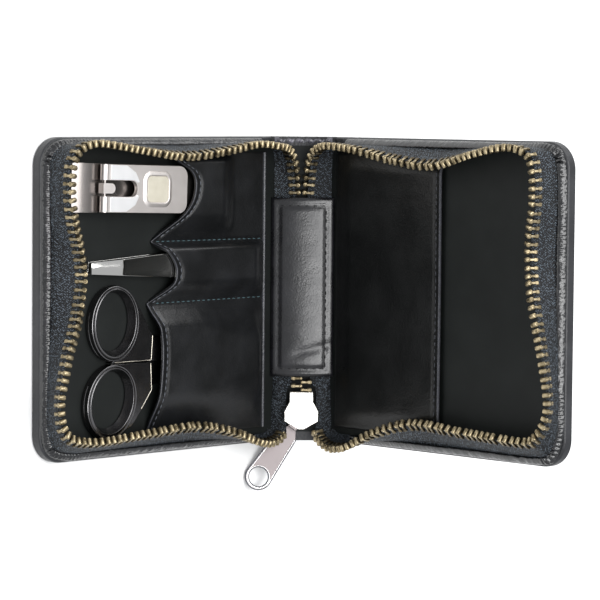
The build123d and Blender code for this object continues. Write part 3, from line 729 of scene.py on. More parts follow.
@dataclass(frozen=True)
class Stitching:
    """A row of sewn stitches: its pitch, the length and thickness of each, in millimetres."""

    pitch: float = 2.6
    length: float = 1.9
    thickness: float = 0.36

    def sew(self, runs: Iterable[Sequence[Vector]]) -> bmesh.types.BMesh:
        """Lays a stitch at each step of each run.

        Args:
            runs: Runs of points on the surface that is sewn, in metres.

        Returns:
            The stitches as one bmesh.
        """
        bm = bmesh.new()
        for run in runs:
            for spot, way in resample(run, self.pitch):
                turn = way.to_track_quat("X", "Z").to_matrix().to_4x4()
                shape = Matrix.Diagonal((self.length * MM, self.thickness * MM, self.thickness * MM, 1))
                bmesh.ops.create_uvsphere(
                    bm, u_segments=6, v_segments=4, radius=0.5, matrix=Matrix.Translation(spot) @ turn @ shape
                )
        return bm


# Zip


@dataclass(frozen=True)
class ChainSide:
    """One side's zip chain: its route in a cover's axes, as tooth tip u, v, h and tape foot u, v."""

    side: str
    upper: tuple[Station, ...]
    wall: tuple[Station, ...]
    lower: tuple[Station, ...]

    def stations(self) -> tuple[Station, ...]:
        """The whole route."""
        return self.upper + self.wall + self.lower


LEFT_CHAIN = ChainSide(
    side="left",
    upper=(
        (-5.0, 32.8, 10.8, 0.8, 32.8), (-4.0, 38.0, 11.3, 0.8, 38.0), (-2.4, 42.7, 12.0, 0.8, 42.5),
        (-0.9, 44.7, 12.4, 1.0, 45.2), (1.6, 46.8, 13.2, 1.8, 47.4), (4.1, 47.6, 14.2, 3.8, 48.6),
    ),
    wall=(
        (8.0, 48.2, 15.4, 8.0, 49.0), (19.0, 49.1, 16.0, 19.0, 49.0), (33.0, 46.7, 15.9, 33.0, 49.0),
        (50.5, 44.8, 15.4, 50.5, 49.0), (68.5, 46.9, 15.9, 68.5, 49.0), (81.5, 48.9, 16.1, 81.5, 49.0),
        (90.0, 49.7, 16.1, 90.0, 49.0), (96.0, 48.0, 16.1, 97.0, 48.4), (99.2, 44.0, 16.0, 101.0, 44.8),
        (100.3, 38.0, 16.1, 101.5, 38.4), (100.2, 32.0, 16.1, 101.5, 32.0), (98.2, 24.8, 15.6, 101.5, 25.0),
        (94.4, 17.9, 13.8, 101.5, 18.0), (91.7, 10.0, 12.6, 101.5, 10.0), (91.7, 5.3, 12.6, 101.5, 5.3),
        (93.9, -2.5, 13.6, 101.5, -2.5), (97.3, -8.9, 15.3, 101.5, -9.0), (101.0, -16.0, 16.1, 101.5, -16.0),
        (103.1, -23.8, 16.0, 101.5, -24.0), (104.6, -31.0, 15.7, 101.5, -32.0),
        (103.6, -38.4, 15.9, 101.5, -40.5), (99.8, -42.2, 15.9, 99.4, -47.0),
        (92.5, -43.7, 15.0, 92.5, -49.0), (84.2, -44.0, 15.0, 84.2, -49.0), (66.6, -42.8, 14.5, 66.6, -49.0),
        (44.0, -41.9, 13.9, 44.0, -49.0), (28.0, -45.4, 15.2, 27.5, -49.0), (17.7, -49.7, 14.3, 17.0, -49.0),
    ),
    lower=(
        (12.2, -51.2, 13.2, 11.0, -49.0), (8.0, -51.5, 12.2, 7.6, -48.9), (3.3, -50.7, 11.2, 5.0, -48.6),
        (0.7, -49.2, 10.6, 3.8, -48.0), (-0.9, -47.6, 10.3, 3.2, -47.2),
    ),
)
RIGHT_CHAIN = ChainSide(
    side="right",
    upper=(
        (-5.7, 32.8, 11.6, 0.8, 32.8), (-4.5, 38.8, 12.1, 0.8, 38.6), (-2.7, 43.5, 12.7, 0.9, 43.8),
        (-0.9, 45.8, 13.0, 1.2, 46.0), (1.2, 47.2, 13.5, 2.2, 47.6), (4.5, 48.2, 14.4, 4.6, 48.8),
    ),
    wall=(
        (8.6, 48.6, 15.3, 8.6, 49.0), (20.8, 47.5, 16.0, 20.8, 49.0), (38.0, 43.9, 15.0, 38.0, 49.0),
        (54.7, 42.3, 14.1, 54.7, 49.0), (73.4, 46.9, 15.9, 73.4, 49.0), (86.1, 49.5, 16.1, 86.1, 49.0),
        (94.3, 48.2, 16.1, 95.8, 48.8), (97.2, 44.2, 15.5, 100.6, 45.6), (98.3, 33.4, 15.7, 101.5, 33.4),
        (96.2, 22.5, 14.9, 101.5, 22.5), (95.3, 14.5, 14.3, 101.5, 14.5), (98.0, 2.1, 15.6, 101.5, 2.1),
        (102.7, -13.2, 16.1, 101.5, -13.2), (105.2, -25.5, 15.5, 101.5, -25.5),
        (105.6, -32.3, 15.4, 101.5, -33.5), (103.4, -37.8, 15.7, 101.5, -40.5),
        (99.6, -41.0, 15.4, 99.4, -47.0), (93.6, -42.3, 14.3, 93.6, -49.0), (68.4, -41.3, 13.5, 68.4, -49.0),
        (45.8, -40.3, 12.6, 45.8, -49.0), (30.7, -45.0, 15.3, 30.7, -49.0), (19.1, -51.2, 15.4, 18.6, -49.0),
    ),
    lower=(
        (13.0, -52.7, 14.2, 12.2, -49.0), (8.6, -53.1, 13.2, 8.4, -48.9), (3.3, -51.7, 12.0, 5.0, -48.6),
        (0.1, -50.0, 11.2, 3.8, -48.0), (-1.5, -47.8, 10.6, 3.2, -47.2),
    ),
)


@dataclass(frozen=True)
class TapePlace:
    """One step along a zip tape: the tooth's tip, the tape's foot and the way ahead, in cover axes."""

    tip: Vector
    foot: Vector
    ahead: Vector

    @property
    def out(self) -> Vector:
        """From the foot to the tip."""
        return (self.tip - self.foot).normalized()


@dataclass
class Zip:
    """The metal zip: its two chains, their tapes and the few closed teeth.

    Of a tooth, _l is along it, _w across it, _t through it and _sunk how far a face lies under the
    head's. Of the closed teeth and their tape, v runs along the spine, p across it and q off it.
    """

    pitch: float = 2.54
    tooth_length: float = 3.9
    head_r: float = 0.82
    head_round: float = 0.42
    dimple_inset: float = 0.2
    dimple_depth: float = 0.2
    neck_w: float = 0.85
    neck_sunk: float = 0.1
    jaw_w: float = 1.2
    jaw_l: float = 1.1
    jaw_sunk: float = 0.05
    jaw_round: float = 0.15
    tooth_t: float = 2.4
    slot_t: float = 1.4
    # How much painted shade the jaws keep on runs along the fold and on runs away from it.
    along_run_jaw_shade: float = 0.35
    cross_run_jaw_shade: float = 0.9
    grip: float = 2.2
    tape_t: float = 0.6
    tape_short: float = 0.45
    tape_bow: float = 0.35
    cord_r: float = 0.62
    cord_short: float = 0.75
    tape_step: float = 0.8
    end_step: float = 0.6
    welt_step: float = 0.34
    sewn_at: float = 3.1
    end_lead: int = 5
    bend_start: float = 6.0
    bend_end: float = -3.0
    bend_h: float = 10.0
    closed_head_r: float = 0.57
    closed_length: float = 3.5
    closed_count: int = 10
    closed_start: float = -27.5
    closed_reach: float = 0.3
    closed_q: float = 5.0
    closed_near: tuple[float, ...] = (1.35, 1.35, 1.35, 1.4, 2.6, 3.2, 3.3, 4.2, 5.0, 5.1, 5.1, 5.0, 4.9)
    closed_far: float = 10.2
    closed_low: float = 3.0
    closed_rise: float = 0.9
    closed_rows: int = 44
    chain_q: float = 7.0
    patch_low: float = -29.4
    tail_v: float = -34.5
    closed_line: tuple[tuple[float, float], ...] = ((-26.0, 5.0), (-29.4, 5.0), (-34.5, 6.2), (-48.3, 5.6))
    middle_p: float = 10.75
    gather_pitch: float = 1.35
    gather_low: float = 0.1
    gather_high: float = 0.45
    middle_u: float = 50.0
    bend_steps: int = 6
    full_bend: float = 0.5
    welt_profile: tuple[tuple[float, float], ...] = (
        (2.05, -0.1), (1.95, 0.5), (1.6, 1.1), (1.1, 1.6), (0.5, 2.05), (-0.1, 2.25), (-0.5, 2.05),
        (-0.6, 1.0), (-0.55, 0.0),
    )
    tape_stitches: Stitching = Stitching(pitch=2.6, length=1.7, thickness=0.3)

    def places(self, chain: ChainSide, first: int, last: int, step: float) -> list[TapePlace]:
        """Even steps along part of a route, counted from the route's start.

        Args:
            chain: The side's chain.
            first: The station that the part starts at.
            last: The station that it ends at.
            step: The distance between steps in millimetres.

        Returns:
            The steps in order.
        """
        stations, fine = chain.stations(), 24
        spans = len(stations) - 1
        route = [curve_point(stations, k / (spans * fine)) for k in range(spans * fine)]
        found, travelled, due = [], 0.0, 0.0
        for k, (here, ahead) in enumerate(zip(route, route[1:])):
            tip, following = Vector(here[:3]), Vector(ahead[:3])
            if travelled >= due:
                due += step
                if first <= k // fine < last:
                    foot = Vector((here[3], here[4], CASE.lining_top))
                    found.append(TapePlace(tip, foot, (following - tip).normalized()))
            travelled += (following - tip).length
        return found

    def tooth(self, head_r: float, length: float) -> bmesh.types.BMesh:
        """One tooth: a rounded head, a neck and the jaws clamped on the tape's cord.

        Its tip is at the origin, its jaws along -X.
        """
        bm = bmesh.new()
        half = self.tooth_t / 2
        bmesh.ops.create_cone(
            bm, cap_ends=True, cap_tris=False, segments=12, radius1=head_r, radius2=head_r,
            depth=self.tooth_t, matrix=Matrix.Translation((-head_r, 0, 0)),
        )
        caps = [f for f in bm.faces if len(f.verts) > 4]
        round_edges(bm, [e for f in caps for e in f.edges], self.head_round * head_r, 2)
        caps = [f for f in bm.faces if len(f.verts) > 4]
        bmesh.ops.inset_individual(bm, faces=caps, thickness=self.dimple_inset * head_r, depth=0.0)
        for cap in caps:
            push = -math.copysign(self.dimple_depth, cap.calc_center_median().z)
            bmesh.ops.translate(bm, vec=(0, 0, push), verts=cap.verts)
        leg_t = half - self.slot_t / 2
        # From and to along the tooth, width, thickness and height of the web, the necks and the jaws.
        blocks = [(-length - 0.2, -head_r - 0.5, self.neck_w, self.slot_t + 0.2, 0.0)]
        for side in (-1, 1):
            neck_z, jaw_z = (side * (half - leg_t / 2 - sunk) for sunk in (self.neck_sunk, self.jaw_sunk))
            blocks.append((0.6 - length - head_r / 2, -1.5 * head_r, self.neck_w, leg_t, neck_z))
            blocks.append((-length, self.jaw_l - length, self.jaw_w, leg_t, jaw_z))
        for start, end, width, thick, rise in blocks:
            centre, shape = Vector(((start + end) / 2, 0, rise)), (end - start, width, thick, 1)
            placed = Matrix.Translation(centre) @ Matrix.Diagonal(shape)
            block = bmesh.ops.create_cube(bm, size=1.0, matrix=placed)["verts"]
            around = {edge for vert in block for edge in vert.link_edges}
            outer = [edge for edge in around if all(abs(vert.co.z) > half - 0.2 for vert in edge.verts)]
            if outer:
                round_edges(bm, outer, self.jaw_round, 1)
        # Painted shade: the jaws darken toward the tape, where the head and the tape shade them.
        painted_jaw_shade = bm.verts.layers.float.new("painted_jaw_shade")
        for vert in bm.verts:
            vert[painted_jaw_shade] = smooth_step((-vert.co.x - 1.5 * head_r) / 0.6)
        return bm

    def place_teeth(self, master: bmesh.types.BMesh, mats: Sequence[Matrix]) -> bmesh.types.BMesh:
        """Copies of the master tooth at each matrix, which also brings it to metres.

        The painted shade on the jaws is stronger in the runs that go away from the fold than in the runs
        along it.
        """
        mesh = bpy.data.meshes.new("tooth_master")
        master.to_mesh(mesh)
        master.free()
        bm = bmesh.new()
        for mat in mats:
            start = len(bm.verts)
            bm.from_mesh(mesh)
            bm.verts.ensure_lookup_table()
            painted_jaw_shade = bm.verts.layers.float["painted_jaw_shade"]
            cross_run = 1 - abs(mat.to_3x3().normalized().col[1].y)
            for vert in bm.verts[start:]:
                vert[painted_jaw_shade] *= self.along_run_jaw_shade + (self.cross_run_jaw_shade - self.along_run_jaw_shade) * cross_run
            bmesh.ops.transform(bm, matrix=mat, verts=bm.verts[start:])
        bpy.data.meshes.remove(mesh)
        return bm

    def standing(self, axes: Axes, place: TapePlace) -> Matrix:
        """Where a tooth stands: X out of the tape, Z through its thickness."""
        out = axes.turned(place.out).normalized()
        through = axes.turned(place.ahead.cross(place.out)).normalized()
        side = through.cross(out).normalized()
        turn = Matrix((out, side, out.cross(side))).transposed().to_4x4()
        return Matrix.Translation(axes.at(*place.tip)) @ turn @ Matrix.Scale(MM, 4)

    def teeth(self, axes: Axes, places: Sequence[TapePlace]) -> bmesh.types.BMesh:
        """The teeth of a run of tape."""
        return self.place_teeth(
            self.tooth(self.head_r, self.tooth_length), [self.standing(axes, place) for place in places]
        )

    def tape(self, axes: Axes, places: Sequence[TapePlace]) -> bmesh.types.BMesh:
        """The tape of a run: up one face from its foot to its edge and down the other, a little bowed."""
        rows = []
        for place in places:
            out = place.out
            through = place.ahead.cross(out).normalized() * (self.tape_t / 2)
            edge = (place.tip - place.foot).length - (self.tooth_length - self.grip + self.tape_short)
            bow = place.ahead.cross(out).normalized() * self.tape_bow
            points = []
            for face, order in ((1, (0.0, 0.25, 0.5, 0.75, 1.0)), (-1, (1.0, 0.75, 0.5, 0.25, 0.0))):
                for share in order:
                    belly = bow * math.sin(math.pi * share) * (1 if out.z > 0 else -1)
                    points.append(place.foot + out * (edge * share) + through * face - belly)
            rows.append([axes.at(*point) for point in points])
        return woven_strip(rows, closed=True)

    def cord(self, axes: Axes, places: Sequence[TapePlace]) -> bmesh.types.BMesh:
        """The bead along the tape's edge that the teeth are clamped on."""
        rows = []
        for place in places:
            out = place.out
            through = place.ahead.cross(out).normalized()
            centre = place.tip - out * (self.tooth_length - self.grip + self.cord_short)
            rows.append([axes.at(*(centre + out * a + through * b)) for a, b in round_points(self.cord_r)])
        return woven_strip(rows, closed=True)

    def welt(self, axes: Axes, places: Sequence[TapePlace]) -> bmesh.types.BMesh:
        """The leather edge folded up against the tape's foot, gathered where it turns a corner.

        Args:
            axes: The cover's axes.
            places: Fine steps along the tape.

        Returns:
            The welt as one strip.
        """
        rows, travelled, turned = [], 0.0, 0.0
        for index, place in enumerate(places):
            near = places[max(index - self.bend_steps, 0)]
            beyond = places[min(index + self.bend_steps, len(places) - 1)]
            run = beyond.foot - near.foot
            outward = run.cross(Vector((0, 0, 1))).normalized()
            if outward.dot(self.away(place)) < 0:
                outward = -outward
            before = (place.foot - near.foot).normalized()
            after = (beyond.foot - place.foot).normalized()
            bend = min(before.angle(after, 0.0) / self.full_bend, 1.0)
            if index:
                travelled += (place.foot - places[index - 1].foot).length
            turned += (bend - turned) * 0.2
            depth = self.gather_low + self.gather_high * turned
            phase = math.tau * travelled / self.gather_pitch
            ripple = depth * (math.sin(phase) + 0.45 * math.sin(1.73 * phase + 1.1))
            ring = []
            for out, up in self.welt_profile:
                lift = ripple * min(up, 1.0) if up > 0.2 else 0.0
                spot = place.foot + outward * (out + 0.5 * lift) + Vector((0, 0, up + 0.8 * lift))
                ring.append(axes.at(*spot))
            rows.append(ring)
        return woven_strip(rows, closed=True)

    def away(self, place: TapePlace) -> Vector:
        """From the middle of the cover to a place's foot."""
        return Vector((place.foot.x - self.middle_u, place.foot.y, 0))

    def build_side(self, chain: ChainSide, axes: Axes, cover: Body) -> None:
        """Dresses one side: the wall on its cover, and the two ends that bend over the fold.

        Args:
            chain: The side's chain.
            axes: The cover's axes.
            cover: The cover's body.
        """
        first, total, side = len(chain.upper), len(chain.stations()), chain.side
        last = first + len(chain.wall) - 1
        teeth = self.teeth(axes, self.places(chain, first, last, self.pitch))
        make_piece(teeth, f"{side}_chain", PALETTE.teeth, cover, [f"{side}_zip_teeth"])
        fine = self.places(chain, first, last + 1, self.tape_step)
        tape = self.tape(axes, fine)
        make_piece(tape, f"{side}_tape", PALETTE.tape, cover, [f"{side}_zip_tape"], 60)
        make_piece(self.cord(axes, fine), f"{side}_tape_cord", PALETTE.tape, cover, sharp=60)
        welt = self.welt(axes, self.places(chain, first, last + 1, self.welt_step))
        make_piece(welt, f"{side}_welt", PALETTE.welt_leather, cover, sharp=75)
        sewn = []
        for place in fine:
            face = place.ahead.cross(place.out).normalized() * (self.tape_t / 2 + 0.1)
            outer = face if face.dot(self.away(place)) > 0 else -face
            sewn.append(axes.at(*(place.foot + place.out * self.sewn_at + outer)))
        stitches = self.tape_stitches.sew([sewn])
        make_piece(stitches, f"{side}_tape_stitches", PALETTE.black_thread, cover)
        start, end = axes.at(self.bend_start, 0, CASE.lining_top), axes.at(self.bend_end, 0, self.bend_h)
        runs = {"upper": (0, first, first + 1), "lower": (last, total, total)}
        for name, (low, high, tape_high) in runs.items():
            places = self.places(chain, low, high, self.pitch)
            fine = self.places(chain, low, tape_high, self.end_step)
            if name == "upper":
                fine = self.led_in(fine[0]) + fine
            label = f"{side}_{name}_end"
            ends = [
                make_piece(self.teeth(axes, places), f"{label}_teeth", PALETTE.teeth, None),
                make_piece(self.tape(axes, fine), f"{label}_tape", PALETTE.tape, None, sharp=60),
                make_piece(self.cord(axes, fine), f"{label}_cord", PALETTE.tape, None, sharp=60),
            ]
            if name == "upper":
                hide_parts(f"{side}_end_teeth")
                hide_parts(f"{side}_tape_ends")
            for piece in ends:
                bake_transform(piece, cover.value, Body.SPINE.value, start, end)

    def led_in(self, first: TapePlace) -> list[TapePlace]:
        """Steps straight under the patch, ahead of a tape's first one."""
        steps = [Vector((0, self.tape_step * k, 0)) for k in range(self.end_lead, 0, -1)]
        return [TapePlace(first.tip - step, first.foot - step, first.ahead) for step in steps]

    def build_closed(self, axes: Axes) -> None:
        """Dresses the closed teeth between the patch and the slider, and the tape beside them."""
        mats = []
        up = axes.turned(Vector((0, 0, 1)))
        for i in range(self.closed_count):
            v = self.closed_start - i * self.pitch / 2
            side = 1 if i % 2 else -1
            share = min(max((self.patch_low - v) / (self.patch_low - self.tail_v), 0), 1)
            q = self.closed_q + (self.chain_q - self.closed_q) * share
            out = axes.turned(Vector((-side, 0, 0)))
            turn = Matrix((out, up.cross(out), up)).transposed().to_4x4()
            spot = axes.at(self.middle_p - side * self.closed_reach, v, q)
            mats.append(Matrix.Translation(spot) @ turn @ Matrix.Scale(MM, 4))
        teeth = self.place_teeth(self.tooth(self.closed_head_r, self.closed_length), mats)
        make_piece(teeth, "closed_chain", PALETTE.teeth, Body.SPINE, ["closed_teeth"])
        for side, name, cover in ((-1, "left", Body.LEFT), (1, "right", Body.RIGHT)):
            tape = self.closed_tape(axes, side)
            piece = make_piece(tape, f"{name}_closed_tape", PALETTE.tape, None, sharp=60)
            start = axes.at(self.middle_p + side * 10.6, 0, 3.0)
            end = axes.at(self.middle_p + side * 6.0, 0, 4.0)
            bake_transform(piece, cover.value, Body.SPINE.value, start, end)
            if side < 0:
                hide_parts("closed_tape")

    def closed_tape(self, axes: Axes, side: int) -> bmesh.types.BMesh:
        """The tape on one side of the closed teeth, which sags toward the fold.

        Args:
            axes: The spine's axes.
            side: -1 for the left and 1 for the right.

        Returns:
            The tape as one strip.
        """
        near_line = [(near,) for near in self.closed_near]
        rows = []
        for k in range(self.closed_rows + 1):
            share = k / self.closed_rows
            v, q = curve_point(self.closed_line, share)
            near = curve_point(near_line, share)[0]
            far = self.closed_far + 0.3 * math.sin(share * 9.0) + 0.5 * smooth_step((share - 0.6) / 0.4)
            low = self.closed_low + self.closed_rise * share
            top, bottom = [], []
            for across in (j / 6 for j in range(7)):
                p = self.middle_p + side * (near + (far - near) * across)
                fall = across * 0.55 + 0.45 * across * across
                sag = q + (low - q) * fall + 0.16 * math.sin(across * 7 + share * 5)
                top.append(axes.at(p, v, sag + self.tape_t / 2))
                bottom.append(axes.at(p, v, sag - 0.25))
            rows.append(top + bottom[::-1])
        return woven_strip(rows, closed=True)

    def build(self) -> None:
        """Dresses the whole zip."""
        self.build_side(LEFT_CHAIN, CASE.left(), Body.LEFT)
        self.build_side(RIGHT_CHAIN, CASE.right(), Body.RIGHT)
        self.build_closed(CASE.spine())


# Soft leather sheets


@dataclass(frozen=True)
class Sheet:
    """A leather sheet over a grid of places, given by a height at each."""

    rows: int
    columns: int
    thickness: float

    def draw(
        self, axes: Axes, place: Callable[[float, float], tuple[float, float]],
        height: Callable[[float, float], float],
    ) -> bmesh.types.BMesh:
        """Makes the sheet's outer skin.

        Args:
            axes: The axes that it is drawn in.
            place: Gives the two plane coordinates for a share across and a share along.
            height: Gives the outer skin's height at two plane coordinates.

        Returns:
            The skin as a bmesh, its normals up.
        """
        bm = bmesh.new()
        bmesh.ops.create_grid(bm, x_segments=self.columns, y_segments=self.rows, size=0.5)
        for vert in bm.verts:
            a, b = place(vert.co.x + 0.5, vert.co.y + 0.5)
            vert.co = axes.at(a, b, height(a, b))
        up = axes.turned(Vector((0, 0, 1)))
        bmesh.ops.recalc_face_normals(bm, faces=bm.faces)
        bm.faces.ensure_lookup_table()
        if bm.faces[len(bm.faces) // 2].normal.dot(up) < 0:
            bmesh.ops.reverse_faces(bm, faces=bm.faces)
        return bm

    def thicken(self, skin: bmesh.types.BMesh) -> None:
        """Gives a skin its thickness below, in the mesh itself."""
        bmesh.ops.solidify(skin, geom=skin.faces[:], thickness=self.thickness * MM)

    def finish(self, piece: bpy.types.Object, edge: float) -> None:
        """Gives a skin its thickness below and rounds its edges, by modifiers."""
        solid = piece.modifiers.new("thickness", "SOLIDIFY")
        solid.thickness = self.thickness * MM
        solid.offset = -1.0
        solid.use_even_offset = False
        bevel = piece.modifiers.new("edge", "BEVEL")
        bevel.width = edge * MM
        bevel.segments = 3
        bevel.limit_method = "ANGLE"
        bevel.angle_limit = math.radians(50)


def edge_roll(axes: Axes, line: Iterable[tuple[float, float, float]], radius: float) -> bmesh.types.BMesh:
    """A roll of leather along an edge, round in the plane across v.

    Args:
        axes: The cover's axes.
        line: The u, v and h of its middle line.
        radius: Its radius.

    Returns:
        The roll as a bmesh.
    """
    rows = [[axes.at(u + a, v, h + b) for a, b in round_points(radius)] for u, v, h in line]
    return woven_strip(rows, closed=True)


@dataclass
class ToolPocket:
    """The scalloped pocket that holds the three tools."""

    inner_u: float = 6.5
    half_v: float = 46.2
    thickness: float = 0.9
    top: float = 9.1
    groove: float = 0.35
    edge: float = 0.3
    stitch_inset: float = 2.1
    stitch_lift: float = 0.12
    mouth: tuple[tuple[tuple[float, float], ...], ...] = (
        ((50.3, 46.2), (49.4, 43.6), (43.6, 40.2), (41.9, 35.4), (44.9, 28.3), (57.6, 17.6)),
        ((57.6, 17.6), (52.0, 12.2), (50.2, 7.6), (52.2, 2.4), (59.2, -2.5)),
        ((59.2, -2.5), (56.9, -11.0), (56.1, -19.0), (57.0, -30.5), (59.9, -46.2)),
    )
    seam_ends: tuple[tuple[float, float], ...] = ((17.6, 17.4), (-2.5, -2.2))
    seam_run: float = 52.0
    seam_stitching: Stitching = Stitching(pitch=2.3, length=1.5, thickness=0.34)
    mouth_stitching: Stitching = Stitching(pitch=2.1, length=1.6, thickness=0.34)
    line: list[tuple[float, float]] = field(init=False)

    def __post_init__(self) -> None:
        """Works the mouth's line out once."""
        self.line = self.mouth_line()

    def mouth_line(self) -> list[tuple[float, float]]:
        """The mouth as closely spaced u and v, from the upper edge to the lower."""
        line = []
        for stretch in self.mouth:
            line += [tuple(curve_point(stretch, k / 60)) for k in range(60)]
        return line + [self.mouth[-1][-1]]

    def mouth_u(self, v: float) -> float:
        """The mouth's u at a v."""
        line = self.line
        for (u0, v0), (u1, v1) in zip(line, line[1:]):
            if v1 <= v <= v0:
                share = (v0 - v) / max(v0 - v1, 1e-9)
                return u0 + (u1 - u0) * share
        return line[0][0] if v > 0 else line[-1][0]

    def seam_v(self, seam: int, u: float) -> float:
        """The v of a seam between two rooms at a u."""
        mouth, inner = self.seam_ends[seam]
        return inner + (mouth - inner) * min(max((u - self.inner_u) / self.seam_run, 0), 1)

    def height(self, u: float, v: float) -> float:
        """The outer skin's height: three rooms that rise from the seams and the closed end.

        Each room climbs from v low to first, is full up to second and is down again at high. Along u
        it climbs from start to full.
        """
        flat = CASE.lining_top + self.thickness
        upper, lower = self.seam_v(0, u), self.seam_v(1, u)
        if v > upper:
            low, first, second, high, start, full = upper, 26.8, 43.4, self.half_v + 0.4, 20.0, 30.0
        elif v > lower:
            low, first, second, high, start, full = lower, 5.0, 14.8, upper, 5.5, 15.0
        else:
            reach = min(max((u - 8.0) / 30.0, 0), 1)
            first, second = -23.0 - 8.0 * reach, -18.5 + 7.5 * reach
            low, high, start, full = -self.half_v, lower, 6.0, 13.0
        rise = smooth_step((v - low) / (first - low)) if v < first else 1.0
        rise *= smooth_step((high - v) / (high - second)) if v > second else 1.0
        rise *= smooth_step((u - start) / (full - start))
        groove = min(abs(v - upper), abs(v - lower), abs(self.mouth_u(v) - self.stitch_inset - u)) / 0.9
        return flat + (self.top - flat) * rise - self.groove * max(0.0, 1 - groove * groove)

    def build(self) -> None:
        """Makes the pocket, the rolls at its mouth and its closed end, and its stitches."""
        axes = CASE.left()
        sheet = Sheet(rows=132, columns=66, thickness=self.thickness)

        def place(share: float, along: float) -> tuple[float, float]:
            """A share from the closed end to the mouth, and a share along the fold."""
            v = -self.half_v + 2 * self.half_v * along
            return self.inner_u + (self.mouth_u(v) - self.inner_u) * share, v

        skin = sheet.draw(axes, place, self.height)
        piece = make_piece(
            skin, "tool_pocket_leather", PALETTE.pocket_leather, Body.LEFT,
            ["tool_pocket"], 70,
        )
        sheet.finish(piece, self.edge)

        def laid(points: Iterable[tuple[float, float]]) -> list[Vector]:
            """A run of stitches laid on the skin."""
            return [axes.at(u, v, self.height(u, v) + self.stitch_lift) for u, v in points]

        seam_us = [self.inner_u + 1 + k for k in range(50)]
        seams = self.seam_stitching.sew(laid((u, self.seam_v(seam, u)) for u in seam_us) for seam in (0, 1))
        make_piece(seams, "pocket_seam_stitches", PALETTE.teal_thread, Body.LEFT)
        mouth = [(u - 0.15, v, self.height(u, v) - 0.12) for u, v in self.line[::2] + [self.line[-1]]]
        # The roll along the mouth is drawn in the edges' painted highlight grey.
        beading = edge_roll(axes, mouth, 0.3)
        make_piece(beading, "pocket_mouth_edge", PALETTE.edge_leather_painted_highlight, Body.LEFT, sharp=70)
        curves = [[curve_point(stretch, k / 40) for k in range(1, 40)] for stretch in self.mouth]
        runs = [laid((u - self.stitch_inset, v) for u, v in curve) for curve in curves]
        sewn = self.mouth_stitching.sew(runs)
        make_piece(sewn, "pocket_mouth_stitches", PALETTE.grey_thread, Body.LEFT)
        across = [-self.half_v + 2 * self.half_v * k / 90 for k in range(91)]
        inner = [(self.inner_u + 0.1, v, CASE.lining_top + self.thickness - 0.1) for v in across]
        # The roll at the closed end is drawn in the same painted highlight grey.
        roll = edge_roll(axes, inner, 0.6)
        make_piece(roll, "pocket_inner_roll", PALETTE.edge_leather_painted_highlight, Body.LEFT)


@dataclass
class CardPocket:
    """The flat pocket on the right cover, open toward the free edge."""

    inner_u: float = 4.0
    mouth_u: float = 52.2
    half_v: float = 46.2
    thickness: float = 0.9
    room: float = 1.0
    side_rise: float = 7.0
    fold_rise: float = 8.0
    swell: float = 0.18
    edge: float = 0.3
    stitch_inset: float = 2.2
    stitch_lift: float = 0.1
    groove: float = 0.3
    roll_r: float = 0.5
    stitching: Stitching = Stitching(pitch=2.3, length=1.6, thickness=0.34)

    def height(self, u: float, v: float) -> float:
        """The outer skin's height: nearly flat, sewn down at the sides and the fold."""
        flat = CASE.lining_top + self.thickness
        at_sides = smooth_step((self.half_v - abs(v)) / self.side_rise)
        rise = at_sides * smooth_step((u - self.inner_u) / self.fold_rise)
        groove = abs(self.mouth_u - self.stitch_inset - u) / 0.8
        swell = self.swell * math.sin(u / 9.0) * math.cos(v / 15.0)
        return flat + (self.room + swell) * rise - self.groove * max(0.0, 1 - groove * groove)

    def build(self) -> None:
        """Makes the pocket, the roll at its mouth and its stitches."""
        axes = CASE.right()
        sheet = Sheet(rows=80, columns=60, thickness=self.thickness)

        def place(share: float, along: float) -> tuple[float, float]:
            """A share from the fold to the mouth, and a share along the fold."""
            u = self.inner_u + (self.mouth_u - self.inner_u) * share
            return u, -self.half_v + 2 * self.half_v * along

        skin = sheet.draw(axes, place, self.height)
        # The card pocket takes the darker copy of the pocket leather, a painted shade.
        piece = make_piece(
            skin, "card_pocket_leather", PALETTE.card_leather_painted_shade, Body.RIGHT,
            ["card_pocket"], 70,
        )
        sheet.finish(piece, self.edge)
        across = [-self.half_v + 2 * self.half_v * k / 92 for k in range(93)]
        mouth = [(self.mouth_u - 0.45, v, self.height(self.mouth_u, v) - 0.2) for v in across]
        # The roll along the mouth is drawn in the edges' painted highlight grey.
        roll = edge_roll(axes, mouth, self.roll_r)
        make_piece(roll, "card_pocket_roll", PALETTE.edge_leather_painted_highlight, Body.RIGHT)
        u = self.mouth_u - self.stitch_inset
        sewn = self.stitching.sew([[axes.at(u, v, self.height(u, v) + self.stitch_lift) for v in across]])
        # The stitches share the rolled edges' painted highlight grey.
        make_piece(sewn, "card_pocket_stitches", PALETTE.edge_leather_painted_highlight, Body.RIGHT)


